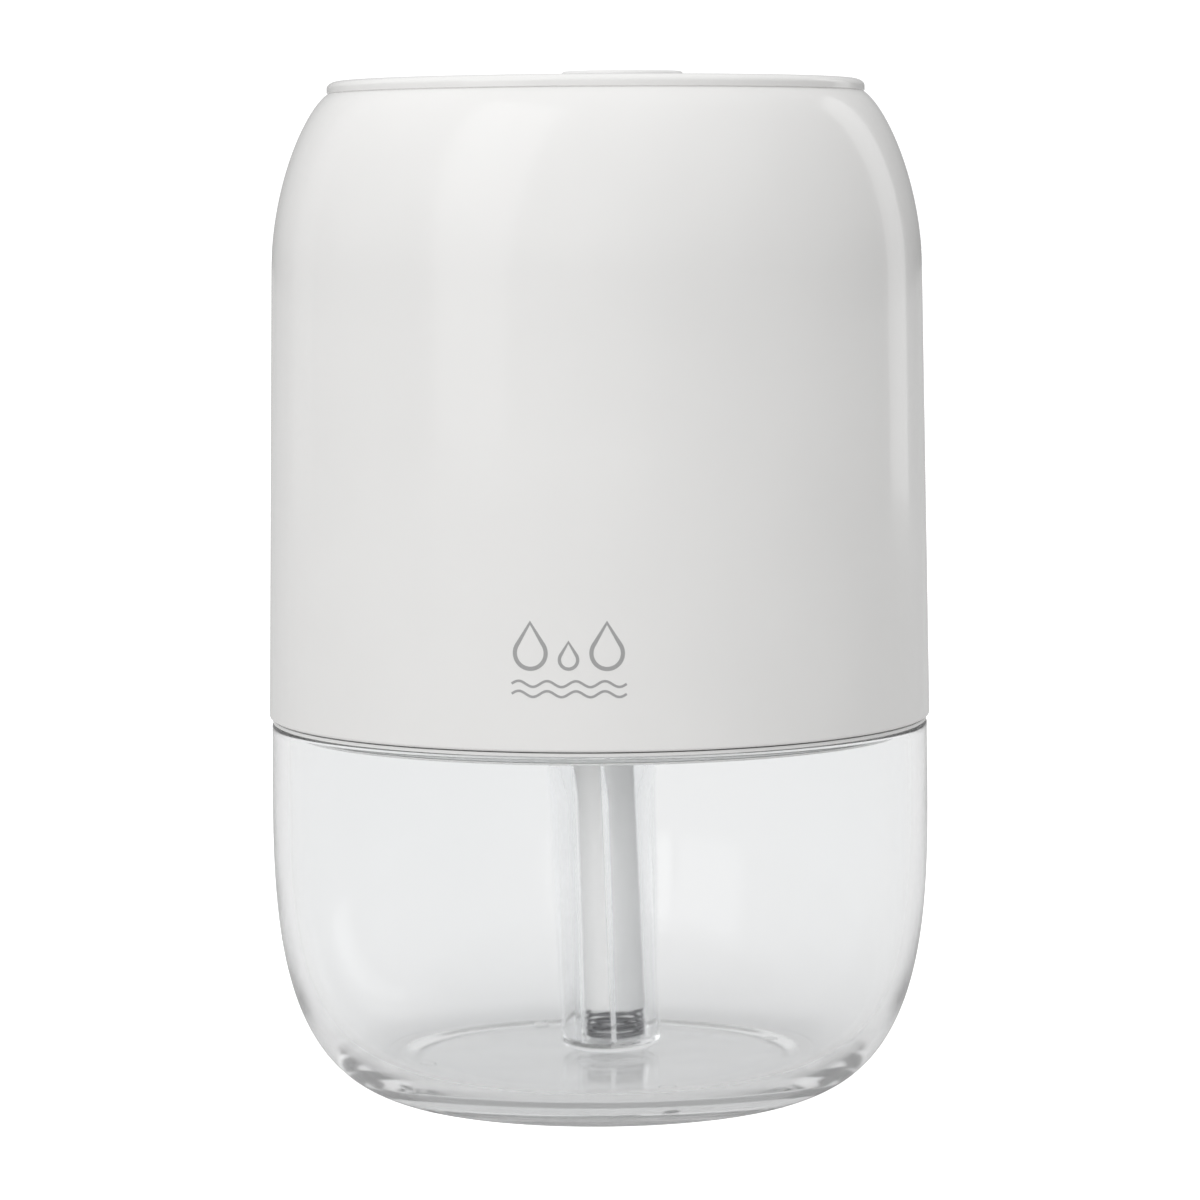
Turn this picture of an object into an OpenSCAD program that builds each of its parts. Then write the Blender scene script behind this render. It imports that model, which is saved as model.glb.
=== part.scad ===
// Cool mist humidifier: a clear water tank, and a white upper unit that lifts off it.
// A cotton stick in a clear sleeve draws water up to an atomizer under the lid.
// Millimetres, +Z up. The origin is the middle of the tank's base, and the front faces -Y.

/* [Shell] */
// Radius of the outer shell at its lower edge
shell_r = 42.2; // [41.9:0.1:43]
// Radius of the shell where its shoulder starts
shoulder_r = 41.25; // [41:0.05:41.5]
// Height of the shell's lower edge
seam_z = 47.9; // [47.5:0.1:49]
// Height of the joint between the shell and the lid
lid_seam_z = 126.85; // [126:0.05:128]
// Height of the rounded shoulder
shoulder_h = 22.2; // [20:0.1:24]
// Thickness of the shell's wall
shell_wall = 2; // [1.8:0.1:2.2]
// Radius of the shell's round opening under the lid
crown_bore_r = 31.4; // [31.3:0.1:31.6]

/* [Lid] */
// Radius of the lid
lid_r = 34; // [33.9:0.05:34.4]
// Height of the lid above its joint
lid_h = 1.55; // [1.4:0.05:1.8]
// Height of the lid's straight rim
lid_rim_h = 0.65; // [0.5:0.05:0.8]
// Width of the rounding at the lid's edge
lid_round_w = 1.5; // [1:0.1:2]
// Radius of the mist outlet's bore
outlet_r = 5.4; // [5.2:0.1:5.6]

/* [Power button] */
// Radius of the button's cap
button_r = 7.5; // [7:0.1:7.6]
// Distance of the button from the middle of the lid
button_out = 18.8; // [18.6:0.1:19]
// Angle of the button to the right of the front
button_angle = 10; // [-15:1:15]
// Height of the button above the lid
button_proud = 0.6; // [0.5:0.1:0.8]
// Radial clearance of the button in the lid
button_gap = 0.1; // [0.05:0.05:0.15]

/* [Water tank] */
// Radius of the tank at its mouth
tank_r = 41.85; // [41.5:0.05:42]
// Radius of the tank's flat base
tank_base_r = 28.7; // [27:0.1:30]
// Thickness of the tank's wall
tank_wall = 2; // [1.8:0.1:2.1]
// Thickness of the tank's floor
tank_floor = 3; // [2.6:0.1:3.2]
// Depth of the recess in the tank's base
base_recess = 0.5; // [0.3:0.1:0.8]
// Gap between the tank's mouth and the plate above it
mouth_gap = 0.15; // [0.1:0.05:0.3]

/* [Filter] */
// Radius of the cotton stick
stick_r = 4; // [3.7:0.1:4]
// Radius of the bore that the stick stands in
wick_bore_r = 4.6; // [4.6:0.1:4.8]
// Radius of the sleeve at its top
sleeve_top_r = 7; // [6.9:0.1:7.2]
// Radius of the sleeve at its bottom
sleeve_end_r = 6.4; // [6.2:0.1:6.6]
// Height of the sleeve's lower end
sleeve_z = 3.5; // [3.4:0.1:4]
// Width of the sleeve's side slots
slot_w = 4; // [3:0.1:4.5]
// Angle of the front slot to the left of the front
slot_angle = 18; // [0:1:30]
// Lean of the sleeve on its spigot
sleeve_lean = 1.6; // [0:0.1:1.6]
// Number of turns in the spring
spring_turns = 6; // [4:0.5:6]

/* [Hidden] */
$fn = 96;

white = [0.94, 0.94, 0.93];
clear = [0.88, 0.92, 0.95, 0.4];
frosted = [0.85, 0.88, 0.9, 0.6];
steel = [0.72, 0.73, 0.75];
silicone = [0.85, 0.86, 0.86];
black_plastic = [0.12, 0.12, 0.13];
board_green = [0.1, 0.38, 0.22];

eps = 0.01;
// Extra length of a cut past the face that it opens
over = 1;
// Clearances between parts
joint_gap = 0.1;
slip_gap = 0.05;

// Levels of the base plate and what stands on it
rebate_h = 0.15;
flange_h = 0.4;
plate_z = seam_z - rebate_h - flange_h;
plate_t = 2.4;
plate_top_z = plate_z + plate_t;
plate_gap = 0.15;
plate_r = shell_r - shell_wall - plate_gap;
flange_r = tank_r - joint_gap;
tank_top_z = plate_z - mouth_gap;
collar_h = 1.3;
collar_gap = 0.5;
collar_r = tank_r - tank_wall - collar_gap;
collar_t = 2.5;
groove_depth = 0.9;
groove_r = collar_r - groove_depth;
seal_drop = 1;
seal_z = plate_z - seal_drop;
seal_h = 0.8;
seal_r = tank_r - tank_wall - slip_gap;
spigot_t = 1;
spigot_r = wick_bore_r + spigot_t;
spigot_h = 5.35;
spigot_z = plate_z - spigot_h;

// Screws that hold the base plate to the shell
base_screw_r = 34.5;
base_screw_n = 4;
shell_boss_r = 3;
shell_boss_h = 11;
plate_boss_r = 3.5;
plate_boss_h = 0.8;
shell_boss_z = plate_top_z + plate_boss_h + joint_gap;
base_head_r = 2;
base_head_h = 1.3;
base_head_gap = 0.2;
base_head_inset = 0.3;
base_shank_r = 1.1;
base_shank_gap = 0.15;

// Wick tower
tower_r = 6.4;
tower_foot_r = 8.7;
tower_foot_h = 1.8;
tower_ear_z = plate_top_z + 3;
tower_ear_h = 2;
tower_screw_r = 11.4;
tower_screw_n = 3;
tower_boss_r = 2.5;
tower_seal_r = 7.3;
tower_seal_w = 1.4;
tower_seal_h = 0.9;

// Levels of the atomizer, from the lid down
lid_top_z = lid_seam_z + lid_h;
lid_plate_t = 2.2;
lid_under_z = lid_top_z - lid_plate_t;
cap_top_z = lid_under_z - 4.7;
cap_t = 2;
cup_top_z = cap_top_z - cap_t;
cup_floor_z = cup_top_z - 4.45;
cup_r = 11.8;
cup_bore_r = 10.4;
cup_cone_z = cup_floor_z - 7;
cup_floor_t = 1;
cap_lip_h = 0.65;
disc_z = cup_floor_z + 1.6;
disc_r = 8;
mesh_t = 0.15;
piezo_t = 0.65;
piezo_bore_r = 3.9;
gasket_r = cup_bore_r - joint_gap;
gasket_bore_r = 6.2;
gasket_h = cup_top_z - cap_lip_h - cup_floor_z;
throat_r = 5;
cap_screw_r = 13.4;
cap_screw_n = 3;
cap_screw_turn = -25;
cap_ear_r = 2.4;
ear_bite = 1;
lead_notch_w = 4;
lead_notch_turn = 35;

// Lid, nozzle and button
skirt_r = crown_bore_r - 0.2;
skirt_t = 1.5;
skirt_h = 5.2;
snap_n = 4;
snap_w = 8;
snap_proud = 0.7;
dish_r = 10.2;
dish_floor_r = 8.9;
dish_h = 0.6;
nozzle_r = 6.9;
nozzle_flange_r = 8.5;
nozzle_flange_h = 0.9;
nozzle_z = cap_top_z + 0.4;
button_hole_r = button_r + button_gap;
button_flange_r = button_r + 1;
button_flange_h = 0.9;
button_top_t = 1.4;
button_skirt_t = 1.3;
button_round = 0.5;
button_stem_r = 2.4;
button_x = button_out * sin(button_angle);
button_y = -button_out * cos(button_angle);

// Button board and what is on it
switch_board_z = lid_under_z - 5.8;
switch_board_t = 1;
switch_board_l = 31.4;
switch_board_w = 9.8;
switch_board_top_z = switch_board_z + switch_board_t;
switch_w = 6.2;
switch_h = 2.9;
switch_pocket_h = 0.6;
plunger_r = 1.75;
plunger_top_z = switch_board_top_z + switch_h + 0.7;
plunger_h = 2.4;
lid_boss_x = 13.6;
lid_boss_r = 1.9;
led_x = 10.2;
led_size = [1.6, 2, 0.8];
led_gap = 0.2;
light_pipe_r = 0.9;
light_pipe_flange_r = 1.3;

// Main board and what is on it
board_z = plate_top_z + 3.25;
board_t = 1.2;
board_top_z = board_z + board_t;
board_w = 30;
board_front_y = 14.5;
board_back_y = 36.8;
board_hole_x = 12.2;
board_hole_y = [17.4, 30];
board_boss_r = 2.4;
small_head_r = 1.8;
small_head_h = 1.2;
small_shank_r = 0.9;
small_pilot_r = 0.8;
small_hole_r = 1.1;
small_shank_l = 4;

// USB-C socket
usb_w = 8.94;
usb_h = 3.26;
usb_t = 0.3;
usb_l = 7.35;
usb_back_l = 1.2;
usb_gap = 0.15;
usb_mouth_inset = 1.4;
usb_mouth_y = shell_r - usb_mouth_inset;
usb_z = board_top_z + usb_h / 2;
usb_recess_w = 13;
usb_recess_h = 7.2;
usb_recess_y = usb_mouth_y + slip_gap;
tongue_w = 6.69;
tongue_t = 0.7;
tongue_l = 4.45;
tongue_base_l = 1;

// Parts that stand on the main board: middles in x and y, then sizes
chip_at = [0, 23.5];
chip_size = [4.9, 3.9, 1.5];
chip_legs = 4;
chip_pitch = 1.27;
transistor_at = [7.6, 30.6];
transistor_size = [4.5, 2.5, 1.5];
inductor_at = [8.4, 24.6];
inductor_w = 6;
inductor_h = 3;
capacitor_at = [[-7.4, 31.2], [-7.4, 25.2]];
capacitor_r = 2.5;
capacitor_h = 7;
connector_at = [[-5.6, 17], [4, 17]];
connector_w = [6, 8];
connector_d = 4;
connector_h = 4.8;
connector_slot_d = 2.6;

// Filter
lean_z = 50;
sleeve_top_z = plate_z - 0.35;
sleeve_floor_z = sleeve_z + 1.5;
sleeve_round = 1.8;
sleeve_neck_z = spigot_z - 4.6;
sleeve_fit = 0.25;
sleeve_socket_r = spigot_r + sleeve_fit;
slot_low_z = sleeve_floor_z + 0.3;
slot_high_z = sleeve_top_z - 1.6;
stick_top_z = disc_z - 0.05;
spring_low_z = sleeve_floor_z + 0.25;
spring_h = 4.2;
wire_r = 0.2;
spring_r = stick_r - 0.2 - wire_r;
stick_lean = sleeve_lean + 0.75;
stick_low_z = spring_low_z + spring_h;

// Insulated leads: points along each route
lead_r = 0.6;
lead_sides = 8;
lead_steps = 5;
lead_route = [
    [8.8, 6.1, 117.3], [11.4, 8, 116.8], [13.4, 10, 110], [13, 12.5, 90],
    [8, 15.5, 72], [-2, 17, 65], [-5, 17, 61], [-5, 17, 58.6]
];
button_lead_r = 1.1;
button_lead_route = [
    [9.4, -15, 119.8], [11.4, -14, 116], [17, -6, 104], [18.5, 6, 84],
    [10, 15.5, 68], [4, 17, 63], [4, 17, 58.6]
];

function bezier_point(p, t) =
    pow(1 - t, 3) * p[0] + 3 * pow(1 - t, 2) * t * p[1] + 3 * (1 - t) * t * t * p[2] + pow(t, 3) * p[3];
function bezier(p, steps) = [for (i = [0:steps]) bezier_point(p, i / steps)];
function arc(middle, size, from, to, steps) = [
    for (i = [0:steps])
        let (a = from + (to - from) * i / steps)
            [middle[0] + size[0] * cos(a), middle[1] + size[1] * sin(a)]
];
function backwards(p) = [for (i = [len(p) - 1:-1:0]) p[i]];
function unit(v) = v / norm(v);
// Points moved to the left of the direction of travel by a depth
function inset(p, depth) = [
    for (i = [0:len(p) - 1])
        let (d = unit(p[min(i + 1, len(p) - 1)] - p[max(i - 1, 0)]))
            p[i] + depth * [-d[1], d[0]]
];
// A smooth curve through every point of a route
function spline_point(a, b, c, d, t) =
    0.5 * (2 * b + (c - a) * t + (2 * a - 5 * b + 4 * c - d) * t * t + (3 * b - a - 3 * c + d) * pow(t, 3));
function spline(p, steps) = [
    for (i = [0:len(p) - 2], k = [0:steps - 1])
        spline_point(p[max(i - 1, 0)], p[i], p[i + 1], p[min(i + 2, len(p) - 1)], k / steps),
    p[len(p) - 1]
];

// Draws its children at each of a number of equal turns
module around(count, turn = 0) {
    for (i = [0:count - 1]) rotate([0, 0, turn + i * 360 / count]) children();
}

module tube(outer_r, inner_r, h) {
    difference() {
        cylinder(r = outer_r, h = h);
        translate([0, 0, -eps]) cylinder(r = inner_r, h = h + 2 * eps);
    }
}

// A flat-sided bar with round ends, along Y
module oblong(w, h, l) {
    rotate([-90, 0, 0]) linear_extrude(l) {
        square([w - h, h], center = true);
        for (side = [-1, 1]) translate([side * (w - h) / 2, 0]) circle(d = h);
    }
}

module box_on(at, size, z) {
    translate([at[0] - size[0] / 2, at[1] - size[1] / 2, z]) cube(size);
}

// A pan-head screw that points down, with its head's underside at the origin
module screw(head_r, head_h, shank_r, shank_l) {
    crown_r = head_r * 0.8;
    cross = [head_r * 1.2, head_r * 0.24, head_h];
    cross_z = head_h * 0.45;
    tip_r = 0.1;
    difference() {
        cylinder(r1 = head_r, r2 = crown_r, h = head_h);
        for (turn = [0, 90]) rotate([0, 0, turn]) box_on([0, 0], cross, cross_z);
    }
    translate([0, 0, -shank_l]) cylinder(r = shank_r, h = shank_l + eps);
    translate([0, 0, -shank_l - shank_r]) cylinder(r1 = tip_r, r2 = shank_r, h = shank_r + eps);
}

// A round bar swept along points; up is never parallel to the route
module sweep(p, r, sides, up) {
    last = len(p) - 1;
    rings = [
        for (i = [0:last])
            let (t = unit(p[min(i + 1, last)] - p[max(i - 1, 0)]), u = unit(cross(up, t)), v = cross(t, u))
                for (k = [0:sides - 1])
                    p[i] + r * (cos(360 * k / sides) * u + sin(360 * k / sides) * v)
    ];
    walls = [
        for (i = [0:last - 1], k = [0:sides - 1])
            let (here = i * sides, next = here + sides, turn = (k + 1) % sides)
                [here + k, next + k, next + turn, here + turn]
    ];
    start = [[for (k = [0:sides - 1]) k]];
    end = [[for (k = [sides - 1:-1:0]) last * sides + k]];
    polyhedron(points = rings, faces = concat(start, walls, end));
}

// Leans its children about a point on the spigot's axis, with the bottom to the right
module lean(angle) {
    translate([0, 0, lean_z]) rotate([0, -angle, 0]) translate([0, 0, -lean_z]) children();
}

module at_button() {
    translate([button_x, button_y, 0]) rotate([0, 0, button_angle]) children();
}

module water_tank() {
    lip = 0.4;
    steps = 28;
    outside_bend = [43.8, 5.2];
    outside_straight = 17;
    inside_bend_r = 41.2;
    inside_straight = 20;
    floor_r = 24;
    outside = bezier([
        [tank_base_r, 0], outside_bend, [tank_r, tank_top_z - outside_straight], [tank_r, tank_top_z - lip]
    ], steps);
    lip_round = arc([tank_r - lip, tank_top_z - lip], [lip, lip], 0, 90, 4);
    inside_r = tank_r - tank_wall;
    inside = bezier([
        [inside_r, tank_top_z], [inside_r, tank_top_z - inside_straight],
        [inside_bend_r, tank_floor], [floor_r, tank_floor]
    ], steps);
    recess_r = 25.5;
    foot_r = 1.2;
    foot_out = 24;
    color(clear) {
        difference() {
            rotate_extrude() polygon(concat([[0, 0]], outside, lip_round, inside, [[0, tank_floor]]));
            translate([0, 0, -eps]) cylinder(r = recess_r, h = base_recess + eps);
        }
        around(4, 20) translate([foot_out, 0, 0]) cylinder(r = foot_r, h = base_recess + eps);
    }
}

module tank_seal() {
    bevel_r = 0.5;
    bevel_h = 0.25;
    color(silicone) rotate_extrude() polygon([
        [groove_r, seal_z], [seal_r - bevel_r, seal_z], [seal_r, seal_z + bevel_h],
        [seal_r, seal_z + seal_h - bevel_h], [seal_r - bevel_r, seal_z + seal_h],
        [groove_r, seal_z + seal_h]
    ]);
}

module base_plate() {
    collar_z = plate_z - collar_h;
    groove_h = seal_h + joint_gap;
    lead_in = 0.4;
    collar_lead_in = 0.15;
    color(white) difference() {
        union() {
            rotate_extrude() polygon([
                [wick_bore_r, spigot_z], [spigot_r - lead_in / 2, spigot_z], [spigot_r, spigot_z + lead_in],
                [spigot_r, plate_z], [collar_r - collar_t, plate_z], [collar_r - collar_t, collar_z],
                [collar_r - collar_lead_in, collar_z], [collar_r, collar_z + collar_lead_in],
                [collar_r, seal_z - joint_gap / 2], [groove_r, seal_z - joint_gap / 2],
                [groove_r, seal_z + groove_h], [collar_r, seal_z + groove_h],
                [collar_r, plate_z], [flange_r, plate_z],
                [flange_r, plate_z + flange_h], [plate_r, plate_z + flange_h], [plate_r, plate_top_z],
                [wick_bore_r, plate_top_z]
            ]);
            around(base_screw_n, 45) translate([base_screw_r, 0, plate_top_z - eps])
                cylinder(r = plate_boss_r, h = plate_boss_h + eps);
            around(tower_screw_n, -90) translate([tower_screw_r, 0, plate_top_z - eps])
                cylinder(r = tower_boss_r, h = tower_ear_z - plate_top_z + eps);
            board_holes() translate([0, 0, plate_top_z - eps])
                cylinder(r = board_boss_r, h = board_z - plate_top_z + eps);
        }
        around(base_screw_n, 45) translate([base_screw_r, 0, 0]) {
            translate([0, 0, plate_z - eps])
                cylinder(r = base_shank_r + base_shank_gap, h = plate_t + plate_boss_h + over);
            translate([0, 0, plate_z - eps])
                cylinder(r = base_head_r + base_head_gap, h = base_head_h + base_head_inset + eps);
        }
        around(tower_screw_n, -90) translate([tower_screw_r, 0, tower_ear_z - small_shank_l])
            cylinder(r = small_pilot_r, h = small_shank_l + over);
        board_holes() translate([0, 0, board_z - small_shank_l])
            cylinder(r = small_pilot_r, h = small_shank_l + over);
        translate([0, 0, plate_top_z - tower_seal_h])
            tube(tower_seal_r + tower_seal_w / 2, tower_seal_r - tower_seal_w / 2, tower_seal_h + over);
    }
}

module board_holes() {
    for (x = [-board_hole_x, board_hole_x], y = board_hole_y) translate([x, y, 0]) children();
}

module base_screws() {
    shank_l = 8;
    color(steel) around(base_screw_n, 45)
        translate([base_screw_r, 0, plate_z + base_head_h + base_head_inset]) mirror([0, 0, 1])
            screw(base_head_r, base_head_h, base_shank_r, shank_l);
}

module outer_shell() {
    edge = 0.4;
    steps = 22;
    shoulder_start = [shoulder_r, lid_seam_z - shoulder_h];
    shoulder_bend = [-0.18, 10.75];
    crown_edge = [lid_r, lid_seam_z];
    crown_bend = [2.78, -2];
    lid_overhang = [0.15, 0];
    shoulder = bezier([
        shoulder_start, shoulder_start + shoulder_bend, crown_edge + crown_bend, crown_edge - lid_overhang
    ], steps);
    outside = concat(arc([shell_r - edge, seam_z + edge], [edge, edge], -90, 0, 4), shoulder);
    inside = concat([[shell_r - shell_wall, seam_z]], inset(shoulder, shell_wall));
    boss_pilot_r = 0.9;
    boss_top_t = 1;
    rib_t = 1.6;
    rib_bite = 0.3;
    usb_cut_l = 5;
    color(white) difference() {
        union() {
            rotate_extrude() polygon(concat(
                outside, [[crown_bore_r, lid_seam_z], [crown_bore_r, lid_seam_z - shell_wall]],
                backwards(inside)
            ));
            around(base_screw_n, 45) translate([0, 0, shell_boss_z]) {
                translate([base_screw_r, 0, 0]) cylinder(r = shell_boss_r, h = shell_boss_h);
                translate([base_screw_r, -rib_t / 2, 0])
                    cube([shell_r - shell_wall - base_screw_r + rib_bite, rib_t, shell_boss_h]);
            }
        }
        around(base_screw_n, 45) translate([base_screw_r, 0, shell_boss_z - eps])
            cylinder(r = boss_pilot_r, h = shell_boss_h - boss_top_t);
        translate([0, usb_recess_y, usb_z]) oblong(usb_recess_w, usb_recess_h, usb_cut_l);
        translate([0, usb_recess_y - usb_cut_l, usb_z])
            oblong(usb_w + 2 * usb_gap, usb_h + 2 * usb_gap, usb_cut_l + over);
    }
}

module top_cover() {
    rim = arc([lid_r - lid_round_w, lid_seam_z + lid_rim_h], [lid_round_w, lid_h - lid_rim_h], 0, 90, 8);
    snap_h = 0.8;
    snap_bite = 0.5;
    snap_z = lid_seam_z - shell_wall - snap_h - joint_gap;
    boss_z = switch_board_top_z;
    color(white) difference() {
        union() {
            rotate_extrude() polygon(concat(
                [[nozzle_r + joint_gap, lid_under_z], [skirt_r - skirt_t, lid_under_z],
                 [skirt_r - skirt_t, lid_under_z - skirt_h], [skirt_r, lid_under_z - skirt_h],
                 [skirt_r, lid_seam_z], [lid_r, lid_seam_z]],
                rim,
                [[dish_r, lid_top_z], [dish_floor_r, lid_top_z - dish_h],
                 [nozzle_r + joint_gap, lid_top_z - dish_h]]
            ));
            around(snap_n, 45) intersection() {
                rotate_extrude() polygon([
                    [skirt_r - snap_bite, snap_z], [skirt_r, snap_z],
                    [skirt_r + snap_proud, snap_z + snap_h], [skirt_r - snap_bite, snap_z + snap_h]
                ]);
                translate([skirt_r - over, -snap_w / 2, snap_z - over])
                    cube([snap_proud + 2 * over, snap_w, snap_h + 2 * over]);
            }
            at_button() for (side = [-1, 1]) translate([side * lid_boss_x, 0, boss_z])
                cylinder(r = lid_boss_r, h = lid_under_z - boss_z + eps);
        }
        at_button() {
            translate([0, 0, lid_under_z - eps]) cylinder(r = button_hole_r, h = lid_plate_t + over);
            translate([led_x, 0, lid_under_z - eps])
                cylinder(r = light_pipe_r + slip_gap, h = lid_plate_t + over);
            for (side = [-1, 1]) translate([side * lid_boss_x, 0, boss_z - eps])
                cylinder(r = small_pilot_r, h = small_shank_l);
        }
    }
}

module mist_nozzle() {
    flange_z = lid_top_z - dish_h;
    flange_round = 0.7;
    flare_w = 1.2;
    flare_h = 1.6;
    top_z = flange_z + nozzle_flange_h;
    color(white) rotate_extrude() polygon(concat(
        [[outlet_r, nozzle_z], [nozzle_r, nozzle_z], [nozzle_r, flange_z], [nozzle_flange_r, flange_z]],
        arc(
            [nozzle_flange_r - flange_round, top_z - flange_round],
            [flange_round, flange_round], 0, 90, 6
        ),
        [[outlet_r + flare_w, top_z], [outlet_r, top_z - flare_h]]
    ));
}

module power_button() {
    top_z = lid_top_z + button_proud;
    flange_z = lid_under_z - joint_gap - button_flange_h;
    bore_r = button_r - button_skirt_t;
    color(white) at_button() {
        rotate_extrude() polygon(concat(
            [[bore_r, flange_z], [button_flange_r, flange_z], [button_flange_r, flange_z + button_flange_h],
             [button_r, flange_z + button_flange_h]],
            arc([button_r - button_round, top_z - button_round], [button_round, button_round], 0, 90, 6),
            [[0, top_z], [0, top_z - button_top_t], [bore_r, top_z - button_top_t]]
        ));
        translate([0, 0, plunger_top_z])
            cylinder(r = button_stem_r, h = top_z - button_top_t - plunger_top_z + eps);
    }
}

module switch_plunger() {
    color(black_plastic) at_button() translate([0, 0, plunger_top_z - plunger_h])
        cylinder(r = plunger_r, h = plunger_h);
}

module tact_switch() {
    corner_r = 0.8;
    color(black_plastic) at_button() difference() {
        box_on([0, 0], [switch_w, switch_w, switch_h], switch_board_top_z);
        translate([0, 0, switch_board_top_z + switch_pocket_h])
            cylinder(r = plunger_r + joint_gap, h = switch_h);
        for (x = [-1, 1], y = [-1, 1]) translate([x, y, 0] * switch_w / 2)
            translate([0, 0, switch_board_top_z - eps]) cylinder(r = corner_r, h = switch_h + 2 * eps);
    }
}

module button_board() {
    color(board_green) at_button() difference() {
        box_on([0, 0], [switch_board_l, switch_board_w, switch_board_t], switch_board_z);
        for (side = [-1, 1]) translate([side * lid_boss_x, 0, switch_board_z - eps])
            cylinder(r = small_hole_r, h = switch_board_t + 2 * eps);
    }
}

module button_board_screws() {
    shank_l = 3;
    color(steel) at_button() for (side = [-1, 1]) translate([side * lid_boss_x, 0, switch_board_z])
        mirror([0, 0, 1]) screw(small_head_r, small_head_h, small_shank_r, shank_l);
}

module status_led() {
    color("ivory") at_button() box_on([led_x, 0], led_size, switch_board_top_z);
}

module light_pipe() {
    flange_h = 0.8;
    low_z = switch_board_top_z + led_size[2] + led_gap;
    color(frosted) at_button() translate([led_x, 0, 0]) {
        translate([0, 0, low_z]) cylinder(r = light_pipe_r, h = lid_top_z - low_z);
        translate([0, 0, lid_under_z - flange_h]) cylinder(r = light_pipe_flange_r, h = flange_h);
    }
}

module wick_tower() {
    foot_z = plate_top_z;
    foot_slope_h = 1.5;
    notch_rise = 1.5;
    color(white) difference() {
        union() {
            rotate_extrude() polygon([
                [wick_bore_r, foot_z], [tower_foot_r, foot_z], [tower_foot_r, foot_z + tower_foot_h],
                [tower_r, foot_z + tower_foot_h + foot_slope_h], [tower_r, cup_cone_z],
                [cup_r, cup_floor_z - cup_floor_t], [cup_r, cup_top_z], [cup_bore_r, cup_top_z],
                [cup_bore_r, cup_floor_z], [wick_bore_r, cup_floor_z]
            ]);
            around(tower_screw_n, -90) translate([0, 0, tower_ear_z]) {
                translate([tower_screw_r, 0, 0]) cylinder(r = tower_boss_r, h = tower_ear_h);
                translate([tower_r - ear_bite, -tower_boss_r, 0])
                    cube([tower_screw_r - tower_r + ear_bite, 2 * tower_boss_r, tower_ear_h]);
            }
            around(cap_screw_n, cap_screw_turn) translate([0, 0, cup_floor_z]) {
                translate([cap_screw_r, 0, 0]) cylinder(r = cap_ear_r, h = cup_top_z - cup_floor_z);
                translate([cup_r - ear_bite, -cap_ear_r, 0])
                    cube([cap_screw_r - cup_r + ear_bite, 2 * cap_ear_r, cup_top_z - cup_floor_z]);
            }
        }
        around(tower_screw_n, -90) translate([tower_screw_r, 0, tower_ear_z - eps])
            cylinder(r = small_hole_r, h = tower_ear_h + 2 * eps);
        around(cap_screw_n, cap_screw_turn) translate([cap_screw_r, 0, cup_top_z - small_shank_l])
            cylinder(r = small_pilot_r, h = small_shank_l + over);
        rotate([0, 0, lead_notch_turn])
            translate([cup_bore_r - over, -lead_notch_w / 2, cup_floor_z + notch_rise])
                cube([cup_r - cup_bore_r + 2 * over, lead_notch_w, cup_top_z - cup_floor_z]);
    }
}

module tower_seal() {
    half_w = tower_seal_w / 2 - slip_gap;
    color(silicone) translate([0, 0, plate_top_z - tower_seal_h + slip_gap])
        tube(tower_seal_r + half_w, tower_seal_r - half_w, tower_seal_h - slip_gap);
}

module tower_screws() {
    color(steel) around(tower_screw_n, -90) translate([tower_screw_r, 0, tower_ear_z + tower_ear_h])
        screw(small_head_r, small_head_h, small_shank_r, small_shank_l);
}

module atomizer_gasket() {
    groove_low_z = disc_z - slip_gap;
    groove_high_z = disc_z + mesh_t + piezo_t + slip_gap;
    top_z = cup_floor_z + gasket_h;
    groove_out_r = disc_r + joint_gap;
    color(silicone) rotate_extrude() polygon([
        [gasket_bore_r, cup_floor_z], [gasket_r, cup_floor_z], [gasket_r, top_z], [gasket_bore_r, top_z],
        [gasket_bore_r, groove_high_z], [groove_out_r, groove_high_z], [groove_out_r, groove_low_z],
        [gasket_bore_r, groove_low_z]
    ]);
}

module piezo_ring() {
    color("khaki") translate([0, 0, disc_z + mesh_t]) tube(disc_r, piezo_bore_r, piezo_t);
}

module mesh_plate() {
    color(steel) translate([0, 0, disc_z]) cylinder(r = disc_r, h = mesh_t);
}

module atomizer_cap() {
    lip_z = cup_top_z - cap_lip_h;
    lip_step = 0.8;
    edge_cut = 0.5;
    throat_flare = 0.3;
    throat_z = cup_top_z + 0.4;
    color(white) difference() {
        union() {
            rotate_extrude() polygon([
                [throat_r + lip_step, lip_z], [gasket_r, lip_z], [gasket_r, cup_top_z],
                [cup_r, cup_top_z], [cup_r, cap_top_z - edge_cut], [cup_r - edge_cut, cap_top_z],
                [throat_r + throat_flare, cap_top_z], [throat_r, throat_z]
            ]);
            around(cap_screw_n, cap_screw_turn) translate([0, 0, cup_top_z]) {
                translate([cap_screw_r, 0, 0]) cylinder(r = cap_ear_r, h = cap_t);
                translate([cup_r - ear_bite, -cap_ear_r, 0])
                    cube([cap_screw_r - cup_r + ear_bite, 2 * cap_ear_r, cap_t]);
            }
        }
        around(cap_screw_n, cap_screw_turn) translate([cap_screw_r, 0, cup_top_z - eps])
            cylinder(r = small_hole_r, h = cap_t + 2 * eps);
    }
}

module cap_screws() {
    shank_l = 5;
    color(steel) around(cap_screw_n, cap_screw_turn) translate([cap_screw_r, 0, cap_top_z])
        screw(small_head_r, small_head_h, small_shank_r, shank_l);
}

module atomizer_leads() {
    spread = lead_r * 1.1;
    up = [1, -1.4, 0];
    color("crimson") for (side = [-1, 1]) translate([side * spread, -side * spread, 0])
        sweep(spline(lead_route, lead_steps), lead_r, lead_sides, up);
}

module button_lead() {
    up = [1, -1.2, 0];
    color("dimgray") sweep(spline(button_lead_route, lead_steps), button_lead_r, lead_sides, up);
}

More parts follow.
